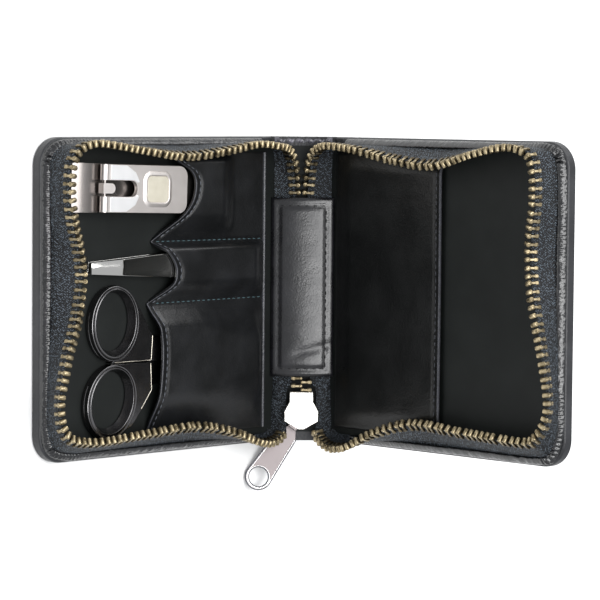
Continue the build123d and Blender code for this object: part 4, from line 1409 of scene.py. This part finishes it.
@dataclass
class ZipEndPatch:
    """The stitched leather patch over the zip's ends, arched across the spine."""

    width: float = 21.2
    low_v: float = -29.4
    high_v: float = 31.0
    thickness: float = 1.0
    edge_q: float = 4.95
    crown_q: float = 6.5
    stitch_inset: float = 2.7
    stitch_lift: float = 0.05
    groove: float = 0.4
    crease: tuple[float, float] = (10.7, -21.0)
    crease_slant: float = 0.25
    crease_w: float = 1.6
    crease_depth: float = 0.3
    bend_end: float = 3.0
    stitching: Stitching = Stitching(pitch=2.7, length=1.6, thickness=0.42)

    def height(self, p: float, v: float) -> float:
        """The outer skin's height above the spine's outer face."""
        half = self.width / 2
        across = (p - CASE.spine_w / 2) / half
        arch = self.edge_q + (self.crown_q - self.edge_q) * (1 - across * across) + self.thickness
        inset = min(half - abs(p - CASE.spine_w / 2), v - self.low_v, self.high_v - v)
        groove = abs(inset - self.stitch_inset) / 0.9
        off_crease = (v - self.crease[1] - self.crease_slant * (p - self.crease[0])) / self.crease_w
        crease = self.crease_depth * math.exp(-(off_crease**2)) * smooth_step((p - 5) / 6)
        dip = 0.25 * smooth_step((self.stitch_inset + 0.3 - inset) / 1.5)
        turned_down = 0.5 * max(0.0, 1 - inset / 0.5) ** 2
        return arch - self.groove * max(0.0, 1 - groove * groove) - crease - (dip + turned_down)

    def build(self) -> None:
        """Makes the patch's halves, which meet at the middle and bend over the folds, and its stitches."""
        axes = CASE.spine()
        middle, half = CASE.spine_w / 2, self.width / 2
        sheet = Sheet(rows=90, columns=18, thickness=self.thickness)
        reach = half - self.stitch_inset
        low, high = self.low_v + self.stitch_inset, self.high_v - self.stitch_inset

        def sewn(places: Iterable[tuple[float, float]]) -> list[Vector]:
            """A run of stitches laid on the skin."""
            return [axes.at(p, v, self.height(p, v) + self.stitch_lift) for p, v in places]

        for side, name, cover in ((-1, "left", Body.LEFT), (1, "right", Body.RIGHT)):

            def place(share: float, along: float, side: int = side) -> tuple[float, float]:
                """A share from the middle to the side's edge, and a share along the spine."""
                return middle + side * half * share, self.low_v + (self.high_v - self.low_v) * along

            skin = sheet.draw(axes, place, self.height)
            sheet.thicken(skin)
            replaced = ["zip_end_patch"] if side < 0 else []
            run = sewn((middle + side * reach, low + (high - low) * k / 60) for k in range(61))
            stitches = self.stitching.sew([run])
            label = f"{name}_patch"
            pieces = (
                make_piece(skin, f"{label}_half", PALETTE.patch_leather, None, replaced, 70),
                make_piece(stitches, f"{label}_stitches", PALETTE.black_thread, None),
            )
            start = axes.at(middle + side * half, 0, self.edge_q)
            end = axes.at(middle + side * self.bend_end, 0, self.crown_q)
            for piece in pieces:
                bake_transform(piece, cover.value, Body.SPINE.value, start, end)
        ends = [sewn((middle - reach + 2 * reach * k / 20, v) for k in range(21)) for v in (low, high)]
        stitches = self.stitching.sew(ends)
        make_piece(stitches, "patch_end_stitches", PALETTE.black_thread, Body.SPINE)


# Covers, folds and spine


@dataclass
class Covers:
    """The case's leather, boards and linings."""

    nodes: dict[str, bpy.types.Object]
    rim_round: float = 0.75
    spine_round: float = 0.4
    turning_v: float = 48.85
    turning_w: float = 2.45
    turning_t: float = 0.5

    def build(self) -> None:
        """Rounds the leather, dresses the layers and makes the folds and the turned-in margin."""
        for side, body in (("left", Body.LEFT), ("right", Body.RIGHT)):
            node = f"{side}_cover_leather"
            skin = softened(self.nodes[node], self.rim_round, 3, left_sharp=self.at_fold)
            make_piece(
                skin, f"{side}_cover_skin", PALETTE.cover_leather, body, [node],
                even_normals=True,
            )
            self.dress(f"{side}_lining", PALETTE.lining)
            self.dress(f"{side}_board", PALETTE.board)
            self.dress(f"{side}_padding", PALETTE.lining)
        spine = softened(self.nodes["spine_leather"], self.spine_round, 2, left_sharp=lambda point: True)
        make_piece(
            spine, "spine_skin", PALETTE.cover_leather, Body.SPINE, ["spine_leather"],
            even_normals=True,
        )
        self.dress("spine_lining", PALETTE.lining)
        self.dress("patch_stay", PALETTE.board)
        self.build_folds()
        self.build_turning()

    def build_turning(self) -> None:
        """Makes the spine's turned-in top margin, wrinkled where the leather is gathered."""
        axes = CASE.spine()

        def place(share: float, along: float) -> tuple[float, float]:
            """A share along the spine's width and a share across the margin."""
            return 1.0 + (CASE.spine_w - 2.0) * share, self.turning_v + self.turning_w * along

        def height(p: float, v: float) -> float:
            """A low roll, crossed by uneven wrinkles."""
            roll = math.sin(math.pi * min(max((v - self.turning_v) / self.turning_w, 0.0), 1.0)) ** 0.6
            wrinkles = math.sin(p * 1.9 + 1.3 * v) + 0.6 * math.sin(p * 4.3 - 2.1 * v + 0.7)
            return CASE.leather + 0.1 + roll * (0.75 + 0.13 * wrinkles)

        sheet = Sheet(rows=14, columns=90, thickness=self.turning_t)
        skin = sheet.draw(axes, place, height)
        sheet.thicken(skin)
        # The margin's light grey is a painted sheen.
        make_piece(skin, "spine_turning", PALETTE.turned_leather_painted_sheen, Body.SPINE, sharp=70)

    def at_fold(self, point: Vector) -> bool:
        """Whether a point of a cover's leather is where it meets its fold."""
        right_fold = CASE.leather + CASE.spine_w * CASE.slope[1]
        on_left = point.x > (CASE.hinge_x - 0.02) * MM and point.z < CASE.lining_top * MM * 1.01
        return on_left or (point.x > CASE.hinge_x * MM and point.z < (right_fold + 0.05) * MM)

    def dress(self, node: str, finish: Finish) -> None:
        """Gives a CAD node that stays its finish."""
        mesh = self.nodes[node].data
        mesh.materials.clear()
        mesh.materials.append(finish.material())

    def build_folds(self) -> None:
        """Makes the leather and the lining that bend at each fold."""
        spine = CASE.spine()
        half, leather, top = CASE.cover_h / 2, CASE.leather, CASE.lining_top
        folds = (
            ("left", CASE.left(), Body.LEFT, 0.0, CASE.spine_lining_inset),
            ("right", CASE.right(), Body.RIGHT, CASE.spine_w, CASE.spine_w - CASE.spine_lining_inset),
        )
        for side, cover, body, at_edge, on_spine in folds:
            outer = (cover.at(0, 0, 0), spine.at(at_edge, 0, 0))
            inner = (cover.at(-0.02, 0, leather), spine.at(at_edge, 0, leather))
            self.fold_band(
                f"{side}_fold_skin", PALETTE.cover_leather, outer, inner, half,
                body, f"{side}_fold_leather", leather,
            )
            under = (cover.at(CASE.fold_gap, 0, top - CASE.lining), spine.at(on_spine, 0, leather + 0.1))
            over = (cover.at(CASE.fold_gap, 0, top), spine.at(on_spine, 0, leather + CASE.spine_lining))
            self.fold_band(
                f"{side}_fold_cloth", PALETTE.lining, under, over, half - CASE.rim_w,
                body, f"{side}_fold_lining", 0.0,
            )

    def fold_band(
        self, name: str, finish: Finish, low: tuple[Vector, Vector], high: tuple[Vector, Vector],
        half: float, body: Body, node: str, bulge: float,
    ) -> None:
        """One band across a fold, which bends between its cover and the spine.

        Args:
            name: The piece's name.
            finish: Its finish.
            low: Its lower line's ends on the cover and on the spine.
            high: Its upper line's ends.
            half: Half its length in millimetres.
            body: The cover's body.
            node: The CAD node that it stands for.
            bulge: How far its lower line keeps from the upper in millimetres, or 0 to let it run straight.
        """
        rows = []
        for k in range(9):
            share = k / 8
            under, over = low[0].lerp(low[1], share), high[0].lerp(high[1], share)
            if bulge:
                under = over + (under - over).normalized() * bulge * MM
            corners = ((under, -half), (under, half), (over, half), (over, -half))
            rows.append([Vector((point.x, v * MM, point.z)) for point, v in corners])
        piece = make_piece(woven_strip(rows, closed=True), name, finish, None, [node])
        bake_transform(piece, body.value, Body.SPINE.value, (low[0] + high[0]) / 2, (low[1] + high[1]) / 2)


# Metal parts


@dataclass(frozen=True)
class MetalPart:
    """A CAD node whose shape is right and whose edges get rounded."""

    node: str
    body: Body
    finish: Finish
    slot: str
    edge: float


@dataclass
class Hardware:
    """The slider, the puller and the parts of the three tools that aren't drawn again."""

    nodes: dict[str, bpy.types.Object]
    parts: tuple[MetalPart, ...] = (
        MetalPart("slider_body", Body.SLIDER, PALETTE.nickel, "nickel", 0.3),
        MetalPart("slider_crown", Body.SLIDER, PALETTE.nickel, "nickel", 0.2),
        MetalPart("puller", Body.PULLER, PALETTE.satin_nickel, "puller_metal", 0.2),
        MetalPart("clipper_lower_leaf", Body.CLIPPER, PALETTE.clipper_steel, "clipper_steel", 0.18),
        MetalPart("clipper_upper_leaf", Body.CLIPPER, PALETTE.clipper_steel, "clipper_steel", 0.18),
        MetalPart("clipper_post", Body.CLIPPER, PALETTE.lever_steel, "clipper_steel", 0.25),
        MetalPart("clipper_fulcrum_pin", Body.CLIPPER, PALETTE.clipper_steel, "clipper_steel", 0.15),
        MetalPart("clipper_rivet", Body.CLIPPER, PALETTE.clipper_steel, "clipper_steel", 0.12),
        MetalPart("clipper_lever", Body.LEVER, PALETTE.lever_steel, "lever_steel", 0.35),
        MetalPart("clipper_label", Body.LEVER, PALETTE.enamel, "label_plate", 0.25),
        MetalPart("tweezer_lower_leg", Body.TWEEZERS, PALETTE.tool_steel, "tool_steel", 0.15),
        MetalPart("scissors_screw", Body.SCISSORS, PALETTE.tool_steel, "tool_steel", 0.2),
    )

    def build(self) -> None:
        """Rounds and dresses each part."""
        for part in self.parts:
            bm = softened(self.nodes[part.node], part.edge)
            name = f"{part.node}_finished"
            make_piece(bm, name, part.finish, part.body, [part.node], even_normals=True)


def plate(
    axes: Axes, outline: Sequence[tuple[float, float]], low: float, high: float, edge: float
) -> bmesh.types.BMesh:
    """A flat plate with rounded edges.

    Args:
        axes: The axes that it is drawn in.
        outline: Its corners in the plane.
        low: Height of its lower face.
        high: Height of its upper face.
        edge: The rounding of its edges.

    Returns:
        The plate as a bmesh, in metres.
    """
    bm = bmesh.new()
    face = bm.faces.new([bm.verts.new((a, b, low)) for a, b in outline])
    grown = bmesh.ops.extrude_face_region(bm, geom=[face])["geom"]
    raised = [g for g in grown if isinstance(g, bmesh.types.BMVert)]
    bmesh.ops.translate(bm, vec=(0, 0, high - low), verts=raised)
    level = [e for e in bm.edges if abs(e.verts[0].co.z - e.verts[1].co.z) < 1e-6]
    round_edges(bm, level, edge, 3, clamp=True)
    for vert in bm.verts:
        vert.co = axes.at(*vert.co)
    bmesh.ops.recalc_face_normals(bm, faces=bm.faces)
    return bm


def bead_line(
    axes: Axes, path: Sequence[tuple[float, float]], radius: float, height: float, looped: bool
) -> bmesh.types.BMesh:
    """A round bead raised along a path in a plane.

    Args:
        axes: The plane's axes.
        path: The path's points in the plane. A looped path's last point is its first.
        radius: The bead's radius.
        height: The height of its middle line.
        looped: Whether the path closes on itself.

    Returns:
        The bead as a bmesh, in metres.
    """
    rows, last = [], len(path) - 1
    for index, (x, y) in enumerate(path):
        before = path[index - 1] if index else (path[last - 1] if looped else path[0])
        after = path[index + 1] if index < last else (path[1] if looped else path[last])
        way = Vector((after[0] - before[0], after[1] - before[1])).normalized()
        section = round_points(radius)
        rows.append([axes.at(x - way.y * out, y + way.x * out, height + up) for out, up in section])
    return woven_strip(rows, closed=True, looped=looped)


def joined(parts: Iterable[bmesh.types.BMesh]) -> bmesh.types.BMesh:
    """Several meshes as one, the parts freed."""
    whole = bmesh.new()
    for part in parts:
        mesh = bpy.data.meshes.new("part")
        part.to_mesh(mesh)
        part.free()
        whole.from_mesh(mesh)
        bpy.data.meshes.remove(mesh)
    return whole


@dataclass(frozen=True)
class Oval:
    """An ellipse in a cover's plane, turned by some degrees."""

    u: float
    v: float
    half_u: float
    half_v: float
    turn: float

    def at(self, angle: float) -> Vector:
        """The point at an angle in radians."""
        slant = math.radians(self.turn)
        a, b = self.half_u * math.cos(angle), self.half_v * math.sin(angle)
        across = a * math.cos(slant) - b * math.sin(slant)
        along = a * math.sin(slant) + b * math.cos(slant)
        return Vector((self.u + across, self.v + along, 0))


@dataclass(frozen=True)
class ScissorHalf:
    """One half of the scissors: its finger ring, its shank and its blade.

    The shank runs into the ring over a band of degrees round it. Ground is the path of the bright
    edge where the shank is ground off.
    """

    name: str
    node: str
    body: Body
    ring: Oval
    hole: Oval
    band: tuple[float, float]
    shank: tuple[tuple[float, float], ...]
    blade: tuple[tuple[float, float], ...]
    blade_low: float
    ground: tuple[tuple[float, float], ...]


@dataclass
class Scissors:
    """The nail scissors, their rings drawn out with a bead round the finger hole."""

    low: float = 4.1
    layer: float = 1.05
    shank_t: float = 2.8
    shank_round: float = 0.18
    blade_round: float = 0.15
    band_share: float = 0.42
    ground_r: float = 0.17
    pivot: tuple[float, float] = (37.0, -21.0)
    boss_r: float = 4.8
    steps: int = 72
    profile: tuple[tuple[float, float], ...] = (
        (0.03, 0.0), (0.0, 0.12), (0.0, 1.3), (0.03, 1.42), (0.03, 2.78), (0.045, 2.94), (0.09, 3.06),
        (0.14, 3.08), (0.2, 2.98), (0.38, 2.98), (0.43, 3.08), (0.48, 3.1), (0.53, 3.04), (0.56, 2.86),
        (0.72, 1.6), (0.95, 0.4), (0.97, 0.15), (0.94, 0.0),
    )
    halves: tuple[ScissorHalf, ...] = (
        ScissorHalf(
            "upper_scissor_half", "scissors_upper_half", Body.SCISSORS_UPPER,
            Oval(74.9, -8.1, 10.2, 12.2, 4), Oval(74.5, -7.6, 7.0, 9.3, 4), (110.0, 250.0),
            ((76.5, -20.7), (59.3, -20.8), (58.6, -12.6), (60.0, -10.5), (66.0, -1.0), (69.0, 1.8)),
            (
                (60, -13.2), (60, -20.8), (46, -21.4), (41, -25.2), (33, -25.0), (11.6, -21.6), (11.2, -21.0),
                (33, -19.0), (41, -16.5), (50, -13.6),
            ),
            5.2,
            ((75.0, -20.6), (59.4, -20.65), (59.3, -20.3), (58.75, -12.7)),
        ),
        ScissorHalf(
            "lower_scissor_half", "scissors_lower_half", Body.SCISSORS,
            Oval(76.2, -33.2, 10.5, 12.2, 20), Oval(75.9, -32.7, 7.1, 9.2, 20), (75.0, 215.0),
            ((70.4, -42.6), (67.5, -41.5), (58.9, -30.5), (59.3, -21.2), (77.0, -21.2)),
            (
                (60, -28.8), (60, -21.2), (46, -20.6), (41, -16.8), (33, -17.0), (11.6, -20.4), (11.2, -21.0),
                (33, -23.0), (41, -25.5), (50, -28.4),
            ),
            4.1,
            ((59.5, -21.6), (59.1, -30.3), (63.6, -36.2)),
        ),
    )

    def finger_ring(self, axes: Axes, half: ScissorHalf) -> bmesh.types.BMesh:
        """A half's ring: its profile carried round between the outer edge and the hole."""
        rows = []
        for k in range(self.steps + 1):
            angle = math.tau * (k % self.steps) / self.steps
            outer, inner = half.ring.at(angle), half.hole.at(angle)
            section = ((outer.lerp(inner, share), up) for share, up in self.profile)
            rows.append([axes.at(*spot.xy, self.low + up) for spot, up in section])
        return woven_strip(rows, closed=True, looped=True)

    def build(self) -> None:
        """Makes both halves."""
        axes = CASE.left()
        for half in self.halves:
            parts = [
                self.finger_ring(axes, half),
                plate(axes, self.shank_outline(half), self.low, self.low + self.shank_t, self.shank_round),
                plate(axes, half.blade, half.blade_low, half.blade_low + self.layer, self.blade_round),
                self.pivot_boss(axes, half.blade_low),
            ]
            make_piece(
                joined(parts), half.name, PALETTE.scissor_steel, half.body, [half.node],
                even_normals=True,
            )
            edge = bead_line(axes, half.ground, self.ground_r, self.low + self.shank_t - 0.1, looped=False)
            name = f"{half.name}_ground_edge"
            make_piece(edge, name, PALETTE.ground_steel, half.body, sharp=80)

    def shank_outline(self, half: ScissorHalf) -> list[tuple[float, float]]:
        """A half's shank, closed along the middle of its finger ring."""
        start, end = half.band
        band = []
        for angle in (math.radians(end + (start - end) * k / 12) for k in range(13)):
            band.append(half.ring.at(angle).lerp(half.hole.at(angle), self.band_share).xy)
        tail = Vector(half.shank[-1])
        if (tail - band[0]).length > (tail - band[-1]).length:
            band.reverse()
        return list(half.shank) + [tuple(point) for point in band]

    def pivot_boss(self, axes: Axes, low: float) -> bmesh.types.BMesh:
        """The round boss that the screw goes through."""
        circle = [(self.pivot[0] + a, self.pivot[1] + b) for a, b in round_points(self.boss_r, 40)]
        return plate(axes, circle, low, low + self.layer, 0.2)


@dataclass
class TweezerLeg:
    """The tweezers' sprung leg, bowed up from the tail and turned down at the tip.

    Squeezed, its steel gives way from yield_u on: it swings less the nearer it is to the tip.
    """

    hinge_u: float = 13.5
    bend_u: float = 73.6
    tip_u: float = 85.4
    middle_v: float = 10.0
    low: float = 5.15
    thickness: float = 1.0
    crest: float = 2.9
    tip_drop: float = 1.75
    yield_u: float = 68.0
    yield_end_u: float = 98.0
    outline: tuple[tuple[float, float, float], ...] = (
        (10.5, 0.0, 0.0), (11.5, -3.2, 3.2), (38.0, -4.3, 4.3), (52.0, -4.0, 4.0), (84.8, -2.03, 1.9),
        (85.4, -2.0, 1.6),
    )
    stops: tuple[float, ...] = (
        10.6, 10.9, 11.5, 12.5, 13.5, 20, 30, 38, 45, 52, 60, 68, 72.6, 73.2, 73.9, 74.6, 80, 84.8, 85.4,
    )

    def height(self, u: float) -> float:
        """The leg's underside at a u."""
        if u <= self.hinge_u:
            return self.low
        if u <= self.bend_u:
            return self.low + self.crest * (u - self.hinge_u) / (self.bend_u - self.hinge_u)
        return self.low + self.crest - self.tip_drop * (u - self.bend_u) / (self.tip_u - self.bend_u)

    def edges(self, u: float) -> tuple[float, float]:
        """The leg's two edges at a u, from the middle line."""
        for (u0, a0, b0), (u1, a1, b1) in zip(self.outline, self.outline[1:]):
            if u <= u1:
                share = (u - u0) / (u1 - u0)
                return a0 + (a1 - a0) * share, b0 + (b1 - b0) * share
        return self.outline[-1][1:]

    def build(self) -> None:
        """Makes the leg from rows across it."""
        axes = CASE.left()
        rows = []
        for u in self.stops:
            low, high = self.edges(u)
            base, top = self.height(u), self.height(u) + self.thickness
            side = min(0.28, (high - low) / 4)
            points = [
                (low, base + 0.15), (low, top - side), (low + side * 0.3, top - side * 0.3),
                (low + side, top), (high - side, top), (high - side * 0.3, top - side * 0.3),
                (high, top - side), (high, base + 0.15), (high - 0.1, base), (low + 0.1, base),
            ]
            rows.append([axes.at(u, self.middle_v + v, h) for v, h in points])
        leg = woven_strip(rows, closed=True)
        replaced = ["tweezer_upper_leg"]
        piece = make_piece(leg, "upper_tweezer_leg", PALETTE.tool_steel, None, replaced, 25)
        start = axes.at(self.yield_u, self.middle_v, self.low)
        end = axes.at(self.yield_end_u, self.middle_v, self.low)
        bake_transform(piece, Body.TWEEZERS_LEG.value, Body.TWEEZERS.value, start, end)


@dataclass
class PullerRim:
    """The rims round the puller's faces and its hole: a bright one inside, and a dark one at the edge whose
    grey is a painted dark reflection.

    From its eye the puller runs over its neck along the spine's face, then straight to its tip.
    """

    eye: tuple[float, float] = (10.75, -42.75)
    eye_q: float = 3.95
    tip: tuple[float, float, float] = (42.7, -67.0, 2.25)
    neck_l: float = 5.5
    near_w: float = 6.8
    end_w: float = 8.8
    half_t: float = 0.7
    hole_r: float = 3.3
    side_start: float = 2.6
    sunk: float = 0.1
    bright_inset: float = 0.42
    bright_r: float = 0.2
    dark_edge_inset: float = 0.02
    dark_edge_r: float = 0.17

    def build(self) -> None:
        """Makes both rims on both faces."""
        up = CASE.spine().turned(Vector((0, 0, 1)))
        eye, tip = CASE.spine().at(*self.eye, self.eye_q) / MM, Vector(self.tip)
        level = (tip - eye - up * (tip - eye).dot(up)).normalized()
        along = tip - eye - level * self.neck_l
        end_r = self.end_w / 2
        start = self.side_start - (along.length - end_r - 0.1)
        along.normalize()
        side = up.cross(along).normalized()
        axes = Axes(tip - along * (end_r + 0.1), along, side, along.cross(side))
        # The first rim is a painted dark reflection at the edge; the second is bright nickel round the faces
        # and the hole.
        for name, finish, inset, radius, ring_inset in (
            ("puller_edge", PALETTE.dark_reflection_nickel, self.dark_edge_inset, self.dark_edge_r, 0.1),
            ("puller_rim", PALETTE.rim_nickel, self.bright_inset, self.bright_r, self.bright_inset),
        ):
            end, slim = end_r - inset, self.near_w / 2 - inset
            turns = [math.pi * k / 24 for k in range(25)]
            arc = [(end * math.sin(turn), end * math.cos(turn)) for turn in turns]
            outline = [(start, slim)] + arc + [(start, -slim)]
            ring = round_points(self.hole_r + ring_inset, 40)
            rims = []
            for height in (self.half_t - self.sunk, self.sunk - self.half_t):
                rims.append(bead_line(axes, outline, radius, height, looped=False))
                rims.append(bead_line(axes, ring + ring[:1], radius, height, looped=True))
            make_piece(joined(rims), name, finish, Body.PULLER, sharp=80)


@dataclass
class LeverFace:
    """What is worked into the clipper lever's top: a collar round the label, and the fork's faces drawn white
    as a painted highlight of its polished facets.

    The label's numbers are its length, its width and its corners' radius.
    """

    head: tuple[float, float] = (94.6, 35.8)
    turn: float = 1.7
    fulcrum: tuple[float, float] = (11.2, 10.9)
    slope: float = 2.2
    top: float = 1.2
    label_x: float = 22.5
    label: tuple[float, float, float] = (9.6, 8.4, 1.8)
    collar: float = 1.7
    collar_profile: tuple[tuple[float, float], ...] = (
        (1.0, -0.05), (0.85, 0.1), (0.6, 0.27), (0.35, 0.38), (0.16, 0.42), (0.05, 0.36), (0.0, 0.1),
    )
    fork: tuple[tuple[float, float], ...] = (
        (1.6, 2.75), (1.6, 7.4), (8.6, 7.4), (12.6, 5.2), (14.4, 2.2), (13.4, 2.0), (12.4, 2.62),
        (11.0, 2.75),
    )

    def axes(self) -> Axes:
        """x along the lever from its pin, y across it, z off its face."""
        turn, slope = math.radians(self.turn), math.radians(self.slope)
        along = Vector((math.cos(turn), -math.sin(turn), 0))
        across = Vector((math.sin(turn), math.cos(turn), 0))
        pin_x, pin_z = self.fulcrum
        start = Vector((CASE.hinge_x - self.head[0], self.head[1], pin_z)) + along * pin_x
        forward = along * math.cos(slope) - Vector((0, 0, math.sin(slope)))
        off = along * math.sin(slope) + Vector((0, 0, math.cos(slope)))
        return Axes(start, forward, across, off)

    def rounded(self, grow: float, count: int = 12) -> list[tuple[float, float]]:
        """The label's outline grown by some millimetres, as points round it."""
        length, width, radius = self.label[0] / 2 + grow, self.label[1] / 2 + grow, self.label[2] + grow
        points = []
        for corner, (sx, sy) in enumerate(((1, 1), (-1, 1), (-1, -1), (1, -1))):
            for k in range(count):
                angle = math.pi / 2 * (corner + k / (count - 1))
                points.append((
                    self.label_x + sx * (length - radius) + radius * math.cos(angle),
                    sy * (width - radius) + radius * math.sin(angle),
                ))
        return points

    def build(self) -> None:
        """Makes the collar and the fork's faces, whose white is a painted highlight."""
        axes = self.axes()
        loops = []
        for share, up in self.collar_profile:
            outline = self.rounded(self.collar * share)
            loops.append([axes.at(x, y, self.top + up) for x, y in outline])
        rows = [[loop[k] for loop in loops] for k in range(len(loops[0]))]
        rows.append(rows[0])
        collar = woven_strip(rows)
        bmesh.ops.remove_doubles(collar, verts=collar.verts, dist=1e-6)
        bmesh.ops.recalc_face_normals(collar, faces=collar.faces)
        collar.faces.ensure_lookup_table()
        if sum(face.normal.z for face in collar.faces) < 0:
            bmesh.ops.reverse_faces(collar, faces=collar.faces)
        make_piece(collar, "label_collar", PALETTE.lever_steel, Body.LEVER, sharp=60)
        # The fork's faces are flat plates drawn pure white, a painted highlight.
        faces = []
        for side in (1, -1):
            outline = [(x, side * y) for x, y in self.fork]
            faces.append(plate(axes, outline, self.top - 0.1, self.top + 0.12, 0.1))
        fork = joined(faces)
        make_piece(fork, "lever_fork_highlight_faces", PALETTE.fork_painted_highlight, Body.LEVER, even_normals=True)


# Studio


@dataclass
class Studio:
    """The camera, the floor and the lights."""

    target: Vector = field(default_factory=lambda: Vector((64.368, -4.293, 3.391)) * MM)
    turn: float = 45.257
    rise: float = 3.851
    roll: float = 0.495
    distance: float = 1.009871
    lens: float = 177.5
    sensor: float = 36.0
    floor_half: float = 3.0
    floor_drop: float = 0.0001
    sky: str = "#f4f6fa"
    sky_strength: float = 0.75

    def directions(self) -> tuple[Vector, Vector, Vector]:
        """The camera's right, up and backward directions."""
        turn, rise, roll = (math.radians(a) for a in (self.turn, self.rise, self.roll))
        back = Vector((-math.sin(turn) * math.cos(rise), math.sin(rise), math.cos(turn) * math.cos(rise)))
        up = Vector((0, 1, 0)) - back * back.y
        up.normalize()
        right = up.cross(back)
        rolled = right * math.cos(roll) + up * math.sin(roll)
        return rolled, up * math.cos(roll) - right * math.sin(roll), back

    def build(self) -> None:
        """Makes the camera, the floor and the lights."""
        right, up, back = self.directions()
        data = bpy.data.cameras.new("camera")
        data.lens, data.sensor_width = self.lens, self.sensor
        camera = bpy.data.objects.new("camera", data)
        place = Matrix((right, up, back)).transposed().to_4x4()
        place.translation = self.target + back * self.distance
        camera.matrix_world = place
        bpy.context.scene.collection.objects.link(camera)
        bpy.context.scene.camera = camera
        bm = bmesh.new()
        bmesh.ops.create_grid(bm, x_segments=1, y_segments=1, size=self.floor_half)
        bmesh.ops.translate(bm, vec=(0, 0, -self.floor_drop), verts=bm.verts)
        floor = make_piece(bm, "floor", PALETTE.floor, None)
        self.area("strip_softbox", back + right * 0.29 - up * 0.2, 1.3, (0.34, 0.6), 8.0)
        self.area("camera_card", back - up * 0.135, 1.2, (0.22, 0.26), 1.5)
        self.area("top_softbox", Vector((-0.1, 0.2, 1.0)), 1.3, (0.9, 0.9), 5.0)
        self.area("rear_softbox", Vector((0.45, 0.8, 0.5)), 1.2, (0.8, 0.5), 3.4)
        self.area("side_softbox", back * 0.6 - right * 0.9 - up * 0.1, 1.4, (0.7, 0.7), 3.0)
        world = bpy.data.worlds.new("studio")
        world.use_nodes = True
        backdrop = world.node_tree.nodes["Background"]
        backdrop.inputs["Color"].default_value = linear(self.sky)
        backdrop.inputs["Strength"].default_value = self.sky_strength
        bpy.context.scene.world = world
        bpy.context.scene.view_settings.view_transform = "Standard"

    def area(
        self, name: str, way: Vector, distance: float, size: tuple[float, float], radiance: float
    ) -> None:
        """A softbox that faces the case.

        Args:
            name: The light's name.
            way: Its direction from the case.
            distance: Its distance in metres.
            size: Its width and height in metres.
            radiance: How bright its face is, where a lit white wall is about 1.
        """
        data = bpy.data.lights.new(name, "AREA")
        data.shape, data.size, data.size_y = "RECTANGLE", *size
        data.energy = radiance * math.pi * size[0] * size[1]
        light = bpy.data.objects.new(name, data)
        way = way.normalized()
        turned = way.to_track_quat("Z", "Y").to_matrix().to_4x4()
        light.matrix_world = Matrix.Translation(self.target + way * distance) @ turned
        bpy.context.scene.collection.objects.link(light)


def main() -> None:
    """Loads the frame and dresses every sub-assembly."""
    logging.basicConfig(level=logging.INFO, format="%(name)s %(message)s")
    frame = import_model()
    nodes = frame["nodes"]
    Covers(nodes).build()
    ToolPocket().build()
    CardPocket().build()
    ZipEndPatch().build()
    Zip().build()
    Hardware(nodes).build()
    Scissors().build()
    TweezerLeg().build()
    LeverFace().build()
    PullerRim().build()
    Studio().build()


if __name__ == "__main__":
    main()
